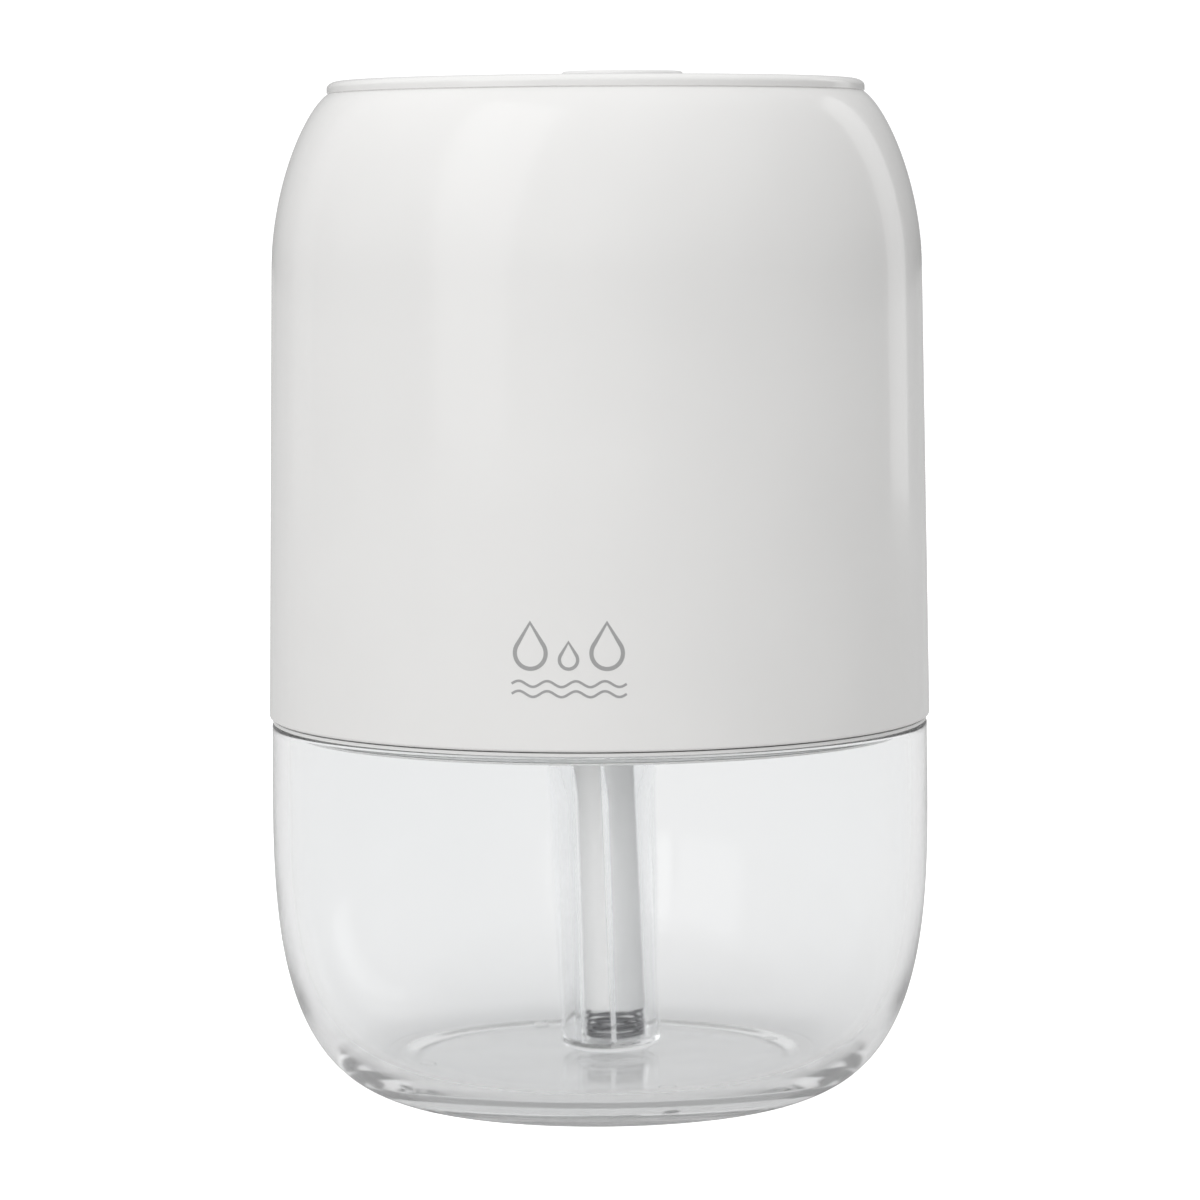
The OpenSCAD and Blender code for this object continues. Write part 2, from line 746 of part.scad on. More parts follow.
module main_board() {
    board_l = board_back_y - board_front_y;
    color(board_green) difference() {
        box_on([0, board_front_y + board_l / 2], [board_w, board_l, board_t], board_z);
        board_holes() translate([0, 0, board_z - eps]) cylinder(r = small_hole_r, h = board_t + 2 * eps);
    }
}

module board_screws() {
    shank_l = 4.4;
    color(steel) board_holes() translate([0, 0, board_top_z])
        screw(small_head_r, small_head_h, small_shank_r, shank_l);
}

module usb_socket() {
    cavity_l = usb_l - usb_back_l;
    color(steel) translate([0, usb_mouth_y - usb_l, usb_z]) difference() {
        oblong(usb_w, usb_h, usb_l);
        translate([0, usb_l - cavity_l, 0]) oblong(usb_w - 2 * usb_t, usb_h - 2 * usb_t, cavity_l + over);
    }
}

module usb_tongue() {
    back_y = usb_mouth_y - usb_l + usb_back_l;
    color(black_plastic) {
        translate([0, back_y, usb_z]) oblong(usb_w - 2 * usb_t, usb_h - 2 * usb_t, tongue_base_l);
        translate([-tongue_w / 2, back_y, usb_z - tongue_t / 2])
            cube([tongue_w, tongue_base_l + tongue_l, tongue_t]);
    }
}

module driver_chip() {
    leg = [0.4, 1, 0.25];
    color(black_plastic) box_on(chip_at, chip_size, board_top_z);
    color(steel) for (side = [-1, 1], i = [0:chip_legs - 1])
        box_on(
            chip_at + [(i - (chip_legs - 1) / 2) * chip_pitch, side * (chip_size[1] + leg[1]) / 2],
            leg, board_top_z
        );
}

module power_transistor() {
    tab = [1.8, 1, 0.5];
    color(black_plastic) box_on(transistor_at, transistor_size, board_top_z);
    color(steel) box_on(transistor_at + [0, -(transistor_size[1] + tab[1]) / 2], tab, board_top_z);
}

module boost_inductor() {
    flange_h = 0.8;
    core_w = inductor_w * 0.75;
    color([0.25, 0.25, 0.27]) translate([inductor_at[0], inductor_at[1], board_top_z]) {
        cylinder(d = inductor_w, h = flange_h);
        cylinder(d = core_w, h = inductor_h);
        translate([0, 0, inductor_h - flange_h]) cylinder(d = inductor_w, h = flange_h);
    }
}

module capacitors() {
    crimp_z = 1.2;
    crimp_h = 0.5;
    crimp_depth = 0.2;
    color(steel) for (at = capacitor_at) translate([at[0], at[1], board_top_z]) difference() {
        cylinder(r = capacitor_r, h = capacitor_h);
        translate([0, 0, crimp_z]) tube(capacitor_r + over, capacitor_r - crimp_depth, crimp_h);
    }
}

module lead_connectors() {
    wall_t = (connector_d - connector_slot_d) / 2;
    floor_t = 0.8;
    color("ivory") for (i = [0, 1]) difference() {
        box_on(connector_at[i], [connector_w[i], connector_d, connector_h], board_top_z);
        box_on(
            connector_at[i], [connector_w[i] - 2 * wall_t, connector_slot_d, connector_h],
            board_top_z + floor_t
        );
    }
}

module filter_sleeve() {
    steps = 6;
    round_in = 0.6;
    socket_gap = 0.2;
    color(clear) lean(sleeve_lean) difference() {
        rotate_extrude() polygon(concat(
            [[0, sleeve_z]],
            arc(
                [sleeve_end_r - sleeve_round, sleeve_z + sleeve_round],
                [sleeve_round, sleeve_round], -90, 0, steps
            ),
            [[sleeve_top_r, sleeve_top_z], [sleeve_socket_r, sleeve_top_z],
             [sleeve_socket_r, spigot_z - socket_gap], [wick_bore_r, sleeve_neck_z]],
            arc([wick_bore_r - round_in, sleeve_floor_z + round_in], [round_in, round_in], 0, -90, steps),
            [[0, sleeve_floor_z]]
        ));
        for (turn = [0, 180]) rotate([0, 0, turn - slot_angle])
            translate([-slot_w / 2, -sleeve_top_r - over, slot_low_z])
                cube([slot_w, sleeve_top_r + over - stick_r / 2, slot_high_z - slot_low_z]);
    }
}

// The stick stands straight in the tower, and bends a little where it enters the sleeve
module filter_stick() {
    bend_h = 10;
    steps = 5;
    sides = 40;
    bend = [
        for (i = [0:steps])
            let (t = i / steps)
                [tan(stick_lean) * bend_h * t * t / 2, 0, lean_z + bend_h / 2 - bend_h * t]
    ];
    foot = [tan(stick_lean) * (lean_z - stick_low_z), 0, stick_low_z];
    color("whitesmoke") sweep(concat([[0, 0, stick_top_z]], bend, [foot]), stick_r, sides, [0, 1, 0]);
}

module filter_spring() {
    turn_steps = 20;
    wire_sides = 8;
    // Share of an even pitch; the rest opens the coils towards the top
    even = 0.55;
    count = spring_turns * turn_steps;
    rise = spring_h - 2 * wire_r;
    low_z = spring_low_z + wire_r;
    coil = [
        for (i = [0:count])
            let (a = 360 * i / turn_steps, t = i / count)
                [spring_r * cos(a), spring_r * sin(a), low_z + rise * (even * t + (1 - even) * t * t)]
    ];
    color(steel) lean(stick_lean) sweep(coil, wire_r, wire_sides, [0, 0, 1]);
}

water_tank();
tank_seal();
base_plate();
base_screws();
outer_shell();
top_cover();
mist_nozzle();
power_button();
switch_plunger();
tact_switch();
button_board();
button_board_screws();
status_led();
light_pipe();
wick_tower();
tower_seal();
tower_screws();
atomizer_gasket();
piezo_ring();
mesh_plate();
atomizer_cap();
cap_screws();
atomizer_leads();
button_lead();
main_board();
board_screws();
usb_socket();
usb_tongue();
driver_chip();
power_transistor();
boost_inductor();
capacitors();
lead_connectors();
filter_sleeve();
filter_stick();
filter_spring();
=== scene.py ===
"""Looks of the cool mist humidifier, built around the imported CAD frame.

Lengths are in millimetres in the CAD frame and turn into metres where a mesh is made. Only the
places, distances and sizes of the lights and the camera are in metres throughout.
"""

import math

import bmesh
import bpy
from mathutils import Matrix, Vector, noise


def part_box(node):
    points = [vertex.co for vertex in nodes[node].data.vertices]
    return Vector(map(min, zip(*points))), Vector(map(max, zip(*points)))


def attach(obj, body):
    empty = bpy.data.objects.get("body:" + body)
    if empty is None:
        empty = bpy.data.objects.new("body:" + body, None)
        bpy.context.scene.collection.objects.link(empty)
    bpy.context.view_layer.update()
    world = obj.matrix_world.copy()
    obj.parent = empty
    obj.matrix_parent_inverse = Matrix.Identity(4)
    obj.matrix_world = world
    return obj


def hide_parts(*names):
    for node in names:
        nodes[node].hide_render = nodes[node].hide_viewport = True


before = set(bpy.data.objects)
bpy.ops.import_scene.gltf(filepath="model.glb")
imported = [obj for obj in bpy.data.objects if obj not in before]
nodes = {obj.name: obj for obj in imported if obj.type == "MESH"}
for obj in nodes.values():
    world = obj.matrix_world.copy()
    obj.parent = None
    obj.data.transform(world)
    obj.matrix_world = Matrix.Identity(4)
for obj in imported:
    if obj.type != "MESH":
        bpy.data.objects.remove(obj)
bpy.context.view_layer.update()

MM = 0.001
TINY = 1e-6


def node_box(name):
    """Lowest and highest corner of a CAD node, in millimetres."""
    low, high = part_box(name)
    return low / MM, high / MM


# ---------------------------------------------------------------- sizes
SEGMENTS = 256
FINE_SEGMENTS = 128
HOLE_SEGMENTS = 48
FILLET_STEPS = 5
ROUND_STEPS = 8
SHARP_ANGLE = math.radians(32)
OVERLAP = 0.3

shell_low, shell_high = node_box("outer_shell")
lid_low, lid_high = node_box("top_cover")
tank_high = node_box("water_tank")[1]
button_low, button_high = node_box("power_button")
stick_low, stick_high = node_box("filter_stick")
seal_low, seal_high = node_box("tank_seal")
nozzle_low, nozzle_high = node_box("mist_nozzle")
usb_low, usb_high = node_box("usb_socket")

# Outer shell
SHELL_R = shell_high.x - 0.03
SEAM_Z = shell_low.z
CROWN_Z = shell_high.z
SHELL_WALL = 2.0
SHELL_EDGE = 0.4
SHOULDER_R = shell_high.x - 0.95
SHOULDER_Z = CROWN_Z - 22.2
SHOULDER_STEPS = 56
SHOULDER_RISE = 10.75
SHOULDER_LEAN = 0.18
CROWN_REACH = 2.78
CROWN_RISE = 2
CROWN_STEP = 0.15
CROWN_BORE_R = 31.4
CROWN_CHAMFER = 0.2
BOSSES = 4
BOSS_OUT = 34.5
BOSS_R = 3.0
BOSS_Z = 50.65
BOSS_H = 11.0
BOSS_TOP_Z = BOSS_Z + BOSS_H
BOSS_CEILING = 1
BOSS_PILOT_R = 0.9
RIB_T = 1.6
RIB_BITE = 0.4
RIB_LOW_STEP = 0.1
RIB_TOP_STEP = 0.3
USB_RECESS_W = 13
USB_RECESS_H = 7.2
USB_RECESS_STEP = 0.05
USB_CUT = 5
USB_WINDOW_GAP = 0.3
USB_WINDOW_OUT = 3

# Lid, nozzle and button
LID_R = lid_high.x
LID_TOP_Z = lid_high.z
LID_RIM_H = 0.65
LID_ROUND_W = 1.5
LID_T = 2.2
LID_UNDER_Z = LID_TOP_Z - LID_T
LID_EDGE = 0.12
SKIRT_R = CROWN_BORE_R - 0.2
SKIRT_T = 1.5
SKIRT_LOW_Z = lid_low.z + 0.6
DISH_R = 10.2
DISH_FLOOR_R = 8.9
DISH_H = 0.6
NOZZLE_R = 6.9
NOZZLE_GAP = 0.1
NOZZLE_BORE_R = 5.4
NOZZLE_FLANGE_R = nozzle_high.x
NOZZLE_FLARE_W = 1.2
NOZZLE_FLARE_H = 1.6
BUTTON_CAP_R = 7.5
BUTTON_INNER_R = 6.2
BUTTON_FLANGE_R = 8.5
BUTTON_FLANGE_T = 0.9
BUTTON_FLANGE_RISE = 0.2
BUTTON_ROOF = 1.4
BUTTON_PEG_R = 2.4
BUTTON_DIP = 0.12
BUTTON_GAP = 0.1
HOLE_EDGE = 0.25
HOLE_EDGE_STEP = 0.08
BUTTON_AT = (button_low + button_high) / 2
BUTTON_TOP_Z = button_high.z
BUTTON_TURN = math.atan2(BUTTON_AT.x, -BUTTON_AT.y)
PIPE_OUT = 10.2
PIPE_R = 0.9
PIPE_GAP = 0.05

# Tank
TANK_R = 41.85
TANK_TOP_Z = tank_high.z
TANK_WALL = 2.0
TANK_INNER_R = TANK_R - TANK_WALL
TANK_LIP = 0.4
TANK_LIP_Z = TANK_TOP_Z - TANK_LIP
TANK_FLOOR = 3.0
TANK_BASE_R = 28.7
TANK_STEPS = 72
TANK_BULGE = (43.8, 5.2)
TANK_SIDE_Z = TANK_TOP_Z - 17
TANK_INNER_BULGE_R = 41.2
TANK_INNER_SIDE_Z = TANK_TOP_Z - 20
TANK_INNER_FLOOR_R = 24
TANK_RECESS_R = 25.5
TANK_RECESS = 0.5
RECESS_INNER_R = TANK_RECESS_R - 3.5
RECESS_OUTER_R = TANK_RECESS_R + 1
RECESS_STEPS = 24
FEET = 4
FOOT_OUT = 24.0
FOOT_R = 1.2
FOOT_ROUND = 0.35
FOOT_JOIN = 0.2
FOOT_TURN = math.radians(20)

# Seal
SEAL_BORE_R = 38.45
SEAL_BEVEL_R = 0.5
SEAL_BEVEL_H = 0.25
SEAL_FILLET = 0.15
SEAL_BORE_FILLET = 0.1

# Filter
LEAN_Z = 50.0
SLEEVE_LEAN = math.radians(1.6)
STICK_LEAN = math.radians(2.35)
SLEEVE_TOP_R = 7.0
SLEEVE_END_R = 6.4
SLEEVE_Z = 3.5
SLEEVE_TOP_Z = 47.0
SLEEVE_CHAMFER = 0.15
SLEEVE_FLOOR_Z = 5.0
SLEEVE_ROUND = 1.8
SLEEVE_ROUND_STEPS = 14
SLEEVE_INNER_ROUND = 0.6
SLEEVE_SEGMENTS = 192
SOCKET_R = 5.85
SOCKET_Z = 41.8
NECK_Z = 37.4
WICK_BORE_R = 4.6
SLOT_W = 4.0
SLOT_TURN = math.radians(18)
SLOT_LOW_Z = 5.3
SLOT_HIGH_Z = 45.4
STICK_R = 4.0
STICK_BEND = 10.0
STICK_STEPS = 60
STICK_SIDES = 96
STICK_END_ROUND = 0.35
FIBRE_CLEARANCE = 0.02
FIBRE_DEPTH = 0.06
FIBRE_FINENESS = 9
FIBRE_LENGTH_SCALE = 0.35
WIRE_R = 0.2
WIRE_SIDES = 12
WIRE_END_ROUND = 0.05
SPRING_R = 3.6
SPRING_TURNS = 6
SPRING_TURN_STEPS = 48
SPRING_LOW_Z = SLEEVE_FLOOR_Z + 0.25 + WIRE_R
SPRING_RISE = 4.2 - 2 * WIRE_R
SPRING_EVENNESS = 0.55

# Printed mark
INK_T = 0.02
MARK_X = -3.65
MARK_Z = 57.9
DROP_SPACING = 4.6
DROP_ROUNDNESS = 0.34
DROP_STEPS = 64
BIG_DROP_H = 5.5
SMALL_DROP_H = 3.2
BIG_DROP_LINE = 0.5
SMALL_DROP_LINE = 0.4
WAVE_HALF = 6.9
WAVE_LEVELS = (56.1, 54.9)
WAVE_H = 0.35
WAVE_LENGTH = 3.45
WAVE_LINE = 0.3
WAVE_STEPS = 120

# Floor and world
FLOOR_R = 9000
FLOOR_SEGMENTS = 128
FLOOR_CAMERA_GLOW = 0.9
FLOOR_THROUGH_GLOW = 0.27
WORLD_CAMERA = 1.15
WORLD_LEFT = 0.45
WORLD_RIGHT = 0.21
WORLD_TOP = 0.88
WORLD_THROUGH = 0.79

# Lights: the point that they face, in metres, and how often light may turn
CENTRE = Vector((0, 0, 0.0645))
LIGHT_TURNS = 24

# Camera: lens and film width in millimetres, place in metres
CAMERA_LENS = 135.2
CAMERA_FILM = 36
CAMERA_AT = (0.00014, -0.574, 0.1137)
CAMERA_DOWN = math.radians(5.11)
CAMERA_TURN = math.radians(-0.371)

# Noise runs mostly between these values
NOISE_LOW = 0.3
NOISE_HIGH = 0.7


# ---------------------------------------------------------------- outlines
def bezier(points, steps):
    """Points along a cubic curve of four (r, z) points."""
    a, b, c, d = (Vector(p) for p in points)
    curve = []
    for i in range(steps + 1):
        t = i / steps
        u = 1 - t
        curve.append(u * u * u * a + 3 * u * u * t * b + 3 * u * t * t * c + t * t * t * d)
    return curve


def arc(middle, size, start, end, steps):
    """Points along an arc or ellipse, with angles in degrees."""
    found = []
    for i in range(steps + 1):
        angle = math.radians(start + (end - start) * i / steps)
        across = middle[0] + size[0] * math.cos(angle)
        up = middle[1] + size[1] * math.sin(angle)
        found.append(Vector((across, up)))
    return found


def inset(points, depth):
    """The points moved to the left of the direction of travel."""
    moved = []
    last = len(points) - 1
    for i, p in enumerate(points):
        along = (points[min(i + 1, last)] - points[max(i - 1, 0)]).normalized()
        moved.append(p + depth * Vector((-along.y, along.x)))
    return moved


def rounded(corners, steps=FILLET_STEPS):
    """A closed outline through (r, z) or (r, z, fillet) corners."""
    outline = []
    count = len(corners)
    for i, corner in enumerate(corners):
        here = Vector(corner[:2])
        fillet = corner[2] if len(corner) > 2 else 0
        if fillet <= 0:
            outline.append(here)
            continue
        before = Vector(corners[i - 1][:2]) - here
        after = Vector(corners[(i + 1) % count][:2]) - here
        half = before.angle(after) / 2
        reach = min(fillet / math.tan(half), 0.49 * before.length, 0.49 * after.length)
        fillet = reach * math.tan(half)
        middle = here + (before.normalized() + after.normalized()).normalized() * (fillet / math.sin(half))
        start = here + before.normalized() * reach - middle
        end = here + after.normalized() * reach - middle
        sweep_angle = math.pi - 2 * half
        for k in range(steps + 1):
            t = k / steps
            outline.append(
                middle
                + start * (math.sin((1 - t) * sweep_angle) / math.sin(sweep_angle))
                + end * (math.sin(t * sweep_angle) / math.sin(sweep_angle))
            )
    return outline


# ---------------------------------------------------------------- meshes
def to_piece(work, name):
    """A linked object made from a bmesh in millimetres, smooth but for its sharp edges."""
    bmesh.ops.scale(work, vec=(MM, MM, MM), verts=work.verts)
    bmesh.ops.remove_doubles(work, verts=work.verts, dist=TINY * MM)
    bmesh.ops.recalc_face_normals(work, faces=work.faces)
    mesh = bpy.data.meshes.new(name)
    work.to_mesh(mesh)
    work.free()
    piece = bpy.data.objects.new(name, mesh)
    bpy.context.scene.collection.objects.link(piece)
    shade(piece)
    return piece


def shade(piece):
    """Smooth faces, but for the sharp edges."""
    piece.data.shade_smooth()
    piece.data.set_sharp_from_angle(angle=SHARP_ANGLE)


def revolve(work, outline, segments=SEGMENTS, place=Matrix.Identity(4)):
    """Adds a closed outline turned about Z, and moved by a matrix."""
    rings = []
    for r, z in outline:
        if r < TINY:
            rings.append([work.verts.new(place @ Vector((0, 0, z)))])
            continue
        ring = []
        for k in range(segments):
            angle = 2 * math.pi * k / segments
            ring.append(work.verts.new(place @ Vector((r * math.cos(angle), r * math.sin(angle), z))))
        rings.append(ring)
    for near, far in zip(rings, rings[1:] + rings[:1]):
        for k in range(segments):
            turn = (k + 1) % segments
            if len(near) == 1 and len(far) == 1:
                break
            if len(near) == 1:
                work.faces.new((near[0], far[k], far[turn]))
            elif len(far) == 1:
                work.faces.new((near[k], far[0], near[turn]))
            else:
                work.faces.new((near[k], far[k], far[turn], near[turn]))


def lathe(name, outline, segments=SEGMENTS, place=Matrix.Identity(4)):
    """A piece turned about Z from a closed outline."""
    work = bmesh.new()
    revolve(work, outline, segments, place)
    return to_piece(work, name)


def block(name, low, high, place=Matrix.Identity(4)):
    """A box between two corners, used to cut or to join."""
    work = bmesh.new()
    bmesh.ops.create_cube(work, size=1)
    size = Vector(high) - Vector(low)
    middle = (Vector(high) + Vector(low)) / 2
    bmesh.ops.scale(work, vec=size, verts=work.verts)
    bmesh.ops.translate(work, vec=middle, verts=work.verts)
    bmesh.ops.transform(work, matrix=place, verts=work.verts)
    return to_piece(work, name)


def combine(piece, others, operation):
    """Joins other pieces to a piece, or cuts them out of it, and removes them."""
    for other in others:
        step = piece.modifiers.new("combine", "BOOLEAN")
        step.object = other
        step.operation = operation
        step.solver = "EXACT"
    graph = bpy.context.evaluated_depsgraph_get()
    made = bpy.data.meshes.new_from_object(piece.evaluated_get(graph))
    piece.modifiers.clear()
    old = piece.data
    piece.data = made
    bpy.data.meshes.remove(old)
    made.name = piece.name
    for other in others:
        bpy.data.objects.remove(other)
    shade(piece)
    return piece


def turned(angle, out=0.0, z=0.0):
    """A place at a distance from the axis, in the direction of an angle from +X."""
    return Matrix.Rotation(angle, 4, "Z") @ Matrix.Translation((out, 0, z))


def leaning(angle):
    """A lean about a point on the spigot's axis, with the bottom towards +X."""
    pivot = Vector((0, 0, LEAN_Z))
    return Matrix.Translation(pivot) @ Matrix.Rotation(-angle, 4, "Y") @ Matrix.Translation(-pivot)


def oblong_bar(name, width, height, low_y, high_y, z, round_steps=24):
    """A bar along Y with round ends."""
    work = bmesh.new()
    half = height / 2
    shift = (width - height) / 2
    outline = [(shift + p.x, p.y) for p in arc((0, 0), (half, half), -90, 90, round_steps)]
    outline += [(-shift + p.x, p.y) for p in arc((0, 0), (half, half), 90, 270, round_steps)]
    near = [work.verts.new((x, low_y, z + h)) for x, h in outline]
    far = [work.verts.new((x, high_y, z + h)) for x, h in outline]
    work.faces.new(near)
    work.faces.new(list(reversed(far)))
    for k in range(len(near)):
        turn = (k + 1) % len(near)
        work.faces.new((near[k], far[k], far[turn], near[turn]))
    return to_piece(work, name)


def sweep(name, path, radius, sides, end_round):
    """A round bar along a path of points, with rounded ends.

    radius is a number, or a function of the middle of a ring and the angle round it.
    """
    work = bmesh.new()
    points = [Vector(p) for p in path]
    last = len(points) - 1
    along = [(points[min(i + 1, last)] - points[max(i - 1, 0)]).normalized() for i in range(last + 1)]
    side = along[0].orthogonal().normalized()
    rings = []

    def ring_at(middle, size):
        other = along_here.cross(side)
        ring = []
        for k in range(sides):
            angle = 2 * math.pi * k / sides
            out = math.cos(angle) * side + math.sin(angle) * other
            reach = radius(middle, angle) if callable(radius) else radius
            ring.append(work.verts.new(middle + out * (reach - size)))
        return ring

    for i, middle in enumerate(points):
        along_here = along[i]
        side = (side - along_here * side.dot(along_here)).normalized()
        if i == 0:
            for k in range(FILLET_STEPS + 1):
                angle = math.pi / 2 * k / FILLET_STEPS
                step = end_round * (1 - math.cos(angle))
                rings.append(ring_at(middle + along_here * step, end_round * (1 - math.sin(angle))))
        elif i == last:
            for k in range(FILLET_STEPS, -1, -1):
                angle = math.pi / 2 * k / FILLET_STEPS
                step = end_round * (1 - math.cos(angle))
                rings.append(ring_at(middle - along_here * step, end_round * (1 - math.sin(angle))))
        else:
            rings.append(ring_at(middle, 0))
    work.faces.new(list(reversed(rings[0])))
    work.faces.new(rings[-1])
    for near, far in zip(rings, rings[1:]):
        for k in range(sides):
            turn = (k + 1) % sides
            work.faces.new((near[k], near[turn], far[turn], far[k]))
    return to_piece(work, name)


# ---------------------------------------------------------------- materials
class Finish:
    """A node material with short calls for its usual parts."""

    def __init__(self, name):
        self.material = bpy.data.materials.new(name)
        self.material.use_nodes = True
        self.tree = self.material.node_tree
        self.shader = self.tree.nodes["Principled BSDF"]
        self.output = self.tree.nodes["Material Output"]
        self.place = self.tree.nodes.new("ShaderNodeTexCoord").outputs["Object"]

    def node(self, kind, **values):
        made = self.tree.nodes.new(kind)
        for key, value in values.items():
            setattr(made, key, value)
        return made

    def link(self, start, end):
        self.tree.links.new(start, end)

    def set(self, **values):
        """Socket values of the shader, with _ for a space."""
        for key, value in values.items():
            self.shader.inputs[key.replace("_", " ")].default_value = value

    def stretched(self, scale):
        """The object's own coordinates, times a scale for each axis."""
        mapping = self.node("ShaderNodeMapping")
        mapping.inputs["Scale"].default_value = scale
        self.link(self.place, mapping.inputs["Vector"])
        return mapping.outputs["Vector"]

    def noise(self, size, detail=3.0, rough=0.5, stretch=(1, 1, 1)):
        """Noise whose features are about size millimetres across."""
        made = self.node("ShaderNodeTexNoise")
        made.inputs["Scale"].default_value = 1 / (size * MM)
        made.inputs["Detail"].default_value = detail
        made.inputs["Roughness"].default_value = rough
        self.link(self.stretched(stretch), made.inputs["Vector"])
        return made.outputs["Fac"]

    def ranged(self, factor, low, high):
        """A noise's value, spread between two numbers."""
        made = self.node("ShaderNodeMapRange")
        made.inputs["From Min"].default_value = NOISE_LOW
        made.inputs["From Max"].default_value = NOISE_HIGH
        made.inputs["To Min"].default_value = low
        made.inputs["To Max"].default_value = high
        self.link(factor, made.inputs["Value"])
        return made.outputs["Result"]

    def blend(self, factor, low, high):
        """A colour between two, by a factor."""
        made = self.node("ShaderNodeMix", data_type="RGBA")
        made.inputs["A"].default_value = (*low, 1)
        made.inputs["B"].default_value = (*high, 1)
        self.link(factor, made.inputs["Factor"])
        return made.outputs["Result"]

    def colour(self, factor, low, high):
        """Base colour that varies between two by a noise."""
        self.link(self.blend(self.ranged(factor, 0, 1), low, high), self.shader.inputs["Base Color"])

    def rough(self, factor, low, high):
        """Roughness that varies between two numbers by a noise."""
        self.link(self.ranged(factor, low, high), self.shader.inputs["Roughness"])

    def bump(self, height, depth):
        """Relief of a depth in millimetres."""
        made = self.node("ShaderNodeBump")
        made.inputs["Distance"].default_value = depth * MM
        made.inputs["Strength"].default_value = 1.0
        self.link(height, made.inputs["Height"])
        self.link(made.outputs["Normal"], self.shader.inputs["Normal"])

    def let_light_through(self, tint):
        """Shadow rays pass straight through the clear material."""
        path = self.node("ShaderNodeLightPath")
        pane = self.node("ShaderNodeBsdfTransparent")
        pane.inputs["Color"].default_value = (*tint, 1)
        both = self.node("ShaderNodeMixShader")
        self.link(path.outputs["Is Shadow Ray"], both.inputs["Fac"])
        self.link(self.shader.outputs["BSDF"], both.inputs[1])
        self.link(pane.outputs["BSDF"], both.inputs[2])
        self.link(both.outputs["Shader"], self.output.inputs["Surface"])


def toned(colour, share):
    """A darker tone of a colour."""
    return tuple(c * share for c in colour)


def moulded(name, colour, rough, grain=0.6, grain_depth=0.004, vary=0.97):
    """Moulded plastic: slow colour drift, uneven gloss and a fine skin."""
    made = Finish(name)
    drift = made.noise(26, detail=2)
    skin = made.noise(grain, detail=4)
    made.colour(drift, toned(colour, vary), colour)
    made.rough(made.noise(9, detail=2), rough * 0.9, rough * 1.1)
    made.bump(skin, grain_depth)
    made.set(IOR=1.5)
    return made


def white_gloss():
    made = moulded("white_gloss", (0.83, 0.825, 0.815), 0.2, grain=5.0, grain_depth=0.006)
    made.set(IOR=1.49, Coat_Weight=0.45, Coat_Roughness=0.06, Coat_IOR=1.5)
    return made.material


def white_matte():
    return moulded("white_matte", (0.8, 0.8, 0.79), 0.42, grain=0.3, grain_depth=0.006).material


def button_white():
    return moulded("button_white", (0.8, 0.8, 0.795), 0.3, grain=0.25, grain_depth=0.004).material


def black_plastic():
    return moulded("black_plastic", (0.025, 0.025, 0.028), 0.45, grain=0.25, vary=0.8).material


def connector_ivory():
    return moulded("connector_ivory", (0.78, 0.72, 0.58), 0.4, grain=0.3).material


def led_white():
    return moulded("led_white", (0.85, 0.78, 0.45), 0.3, grain=0.2, vary=0.9).material


def ferrite():
    return moulded("ferrite", (0.06, 0.06, 0.065), 0.6, grain=0.12, grain_depth=0.01, vary=0.7).material


def insulation(name, colour):
    return moulded(name, colour, 0.38, grain=0.4, vary=0.85).material


def silicone():
    made = moulded("silicone", (0.78, 0.79, 0.79), 0.5, grain=0.4, vary=0.95)
    made.set(Subsurface_Weight=0.25, Subsurface_Radius=(0.002, 0.002, 0.002), Sheen_Weight=0.15)
    return made.material


def clear_tank():
    """Clear, polished plastic with a slight waviness from its moulding."""
    made = Finish("clear_tank")
    made.set(Transmission_Weight=1.0, IOR=1.36, Roughness=0.06)
    made.colour(made.noise(40, detail=1), (0.965, 0.972, 0.975), (0.985, 0.988, 0.99))
    made.bump(made.noise(14, detail=1), 0.05)
    made.let_light_through((0.985, 0.987, 0.988))
    return made.material


def clear_sleeve():
    """Clear plastic, slightly hazy, with fine drag lines along its length."""
    made = Finish("clear_sleeve")
    made.set(Transmission_Weight=1.0, IOR=1.3, Roughness=0.02)
    made.colour(made.noise(12, detail=2), (0.93, 0.935, 0.94), (0.96, 0.965, 0.97))
    made.bump(made.noise(3.0, detail=1, stretch=(1, 1, 0.1)), 0.01)
    made.let_light_through((0.98, 0.982, 0.984))
    return made.material


def frosted_plastic():
    made = Finish("frosted_plastic")
    made.set(Transmission_Weight=0.7, IOR=1.49, Roughness=0.45)
    made.colour(made.noise(3), (0.85, 0.87, 0.88), (0.92, 0.93, 0.94))
    made.bump(made.noise(0.15), 0.01)
    return made.material


def cotton():
    """Pressed fibre: long fine strands with a soft sheen."""
    made = Finish("cotton")
    strands = made.noise(0.16, detail=6, rough=0.7, stretch=(1, 1, 0.06))
    made.colour(strands, (0.92, 0.917, 0.91), (0.975, 0.973, 0.97))
    made.bump(strands, 0.08)
    made.set(Roughness=0.95, Sheen_Weight=0.35, Sheen_Roughness=0.5)
    return made.material


def metal(name, colour, rough, stretch=(1, 1, 1), size=0.3):
    """Metal with fine drawing or stamping lines and small colour changes."""
    made = Finish(name)
    lines = made.noise(size, detail=5, rough=0.6, stretch=stretch)
    made.colour(lines, toned(colour, 0.86), colour)
    made.rough(lines, rough * 0.75, rough * 1.25)
    made.bump(lines, 0.003)
    made.set(Metallic=1.0)
    return made.material


def piezo_ceramic():
    made = moulded("piezo_ceramic", (0.62, 0.56, 0.42), 0.55, grain=0.15, grain_depth=0.008, vary=0.9)
    return made.material


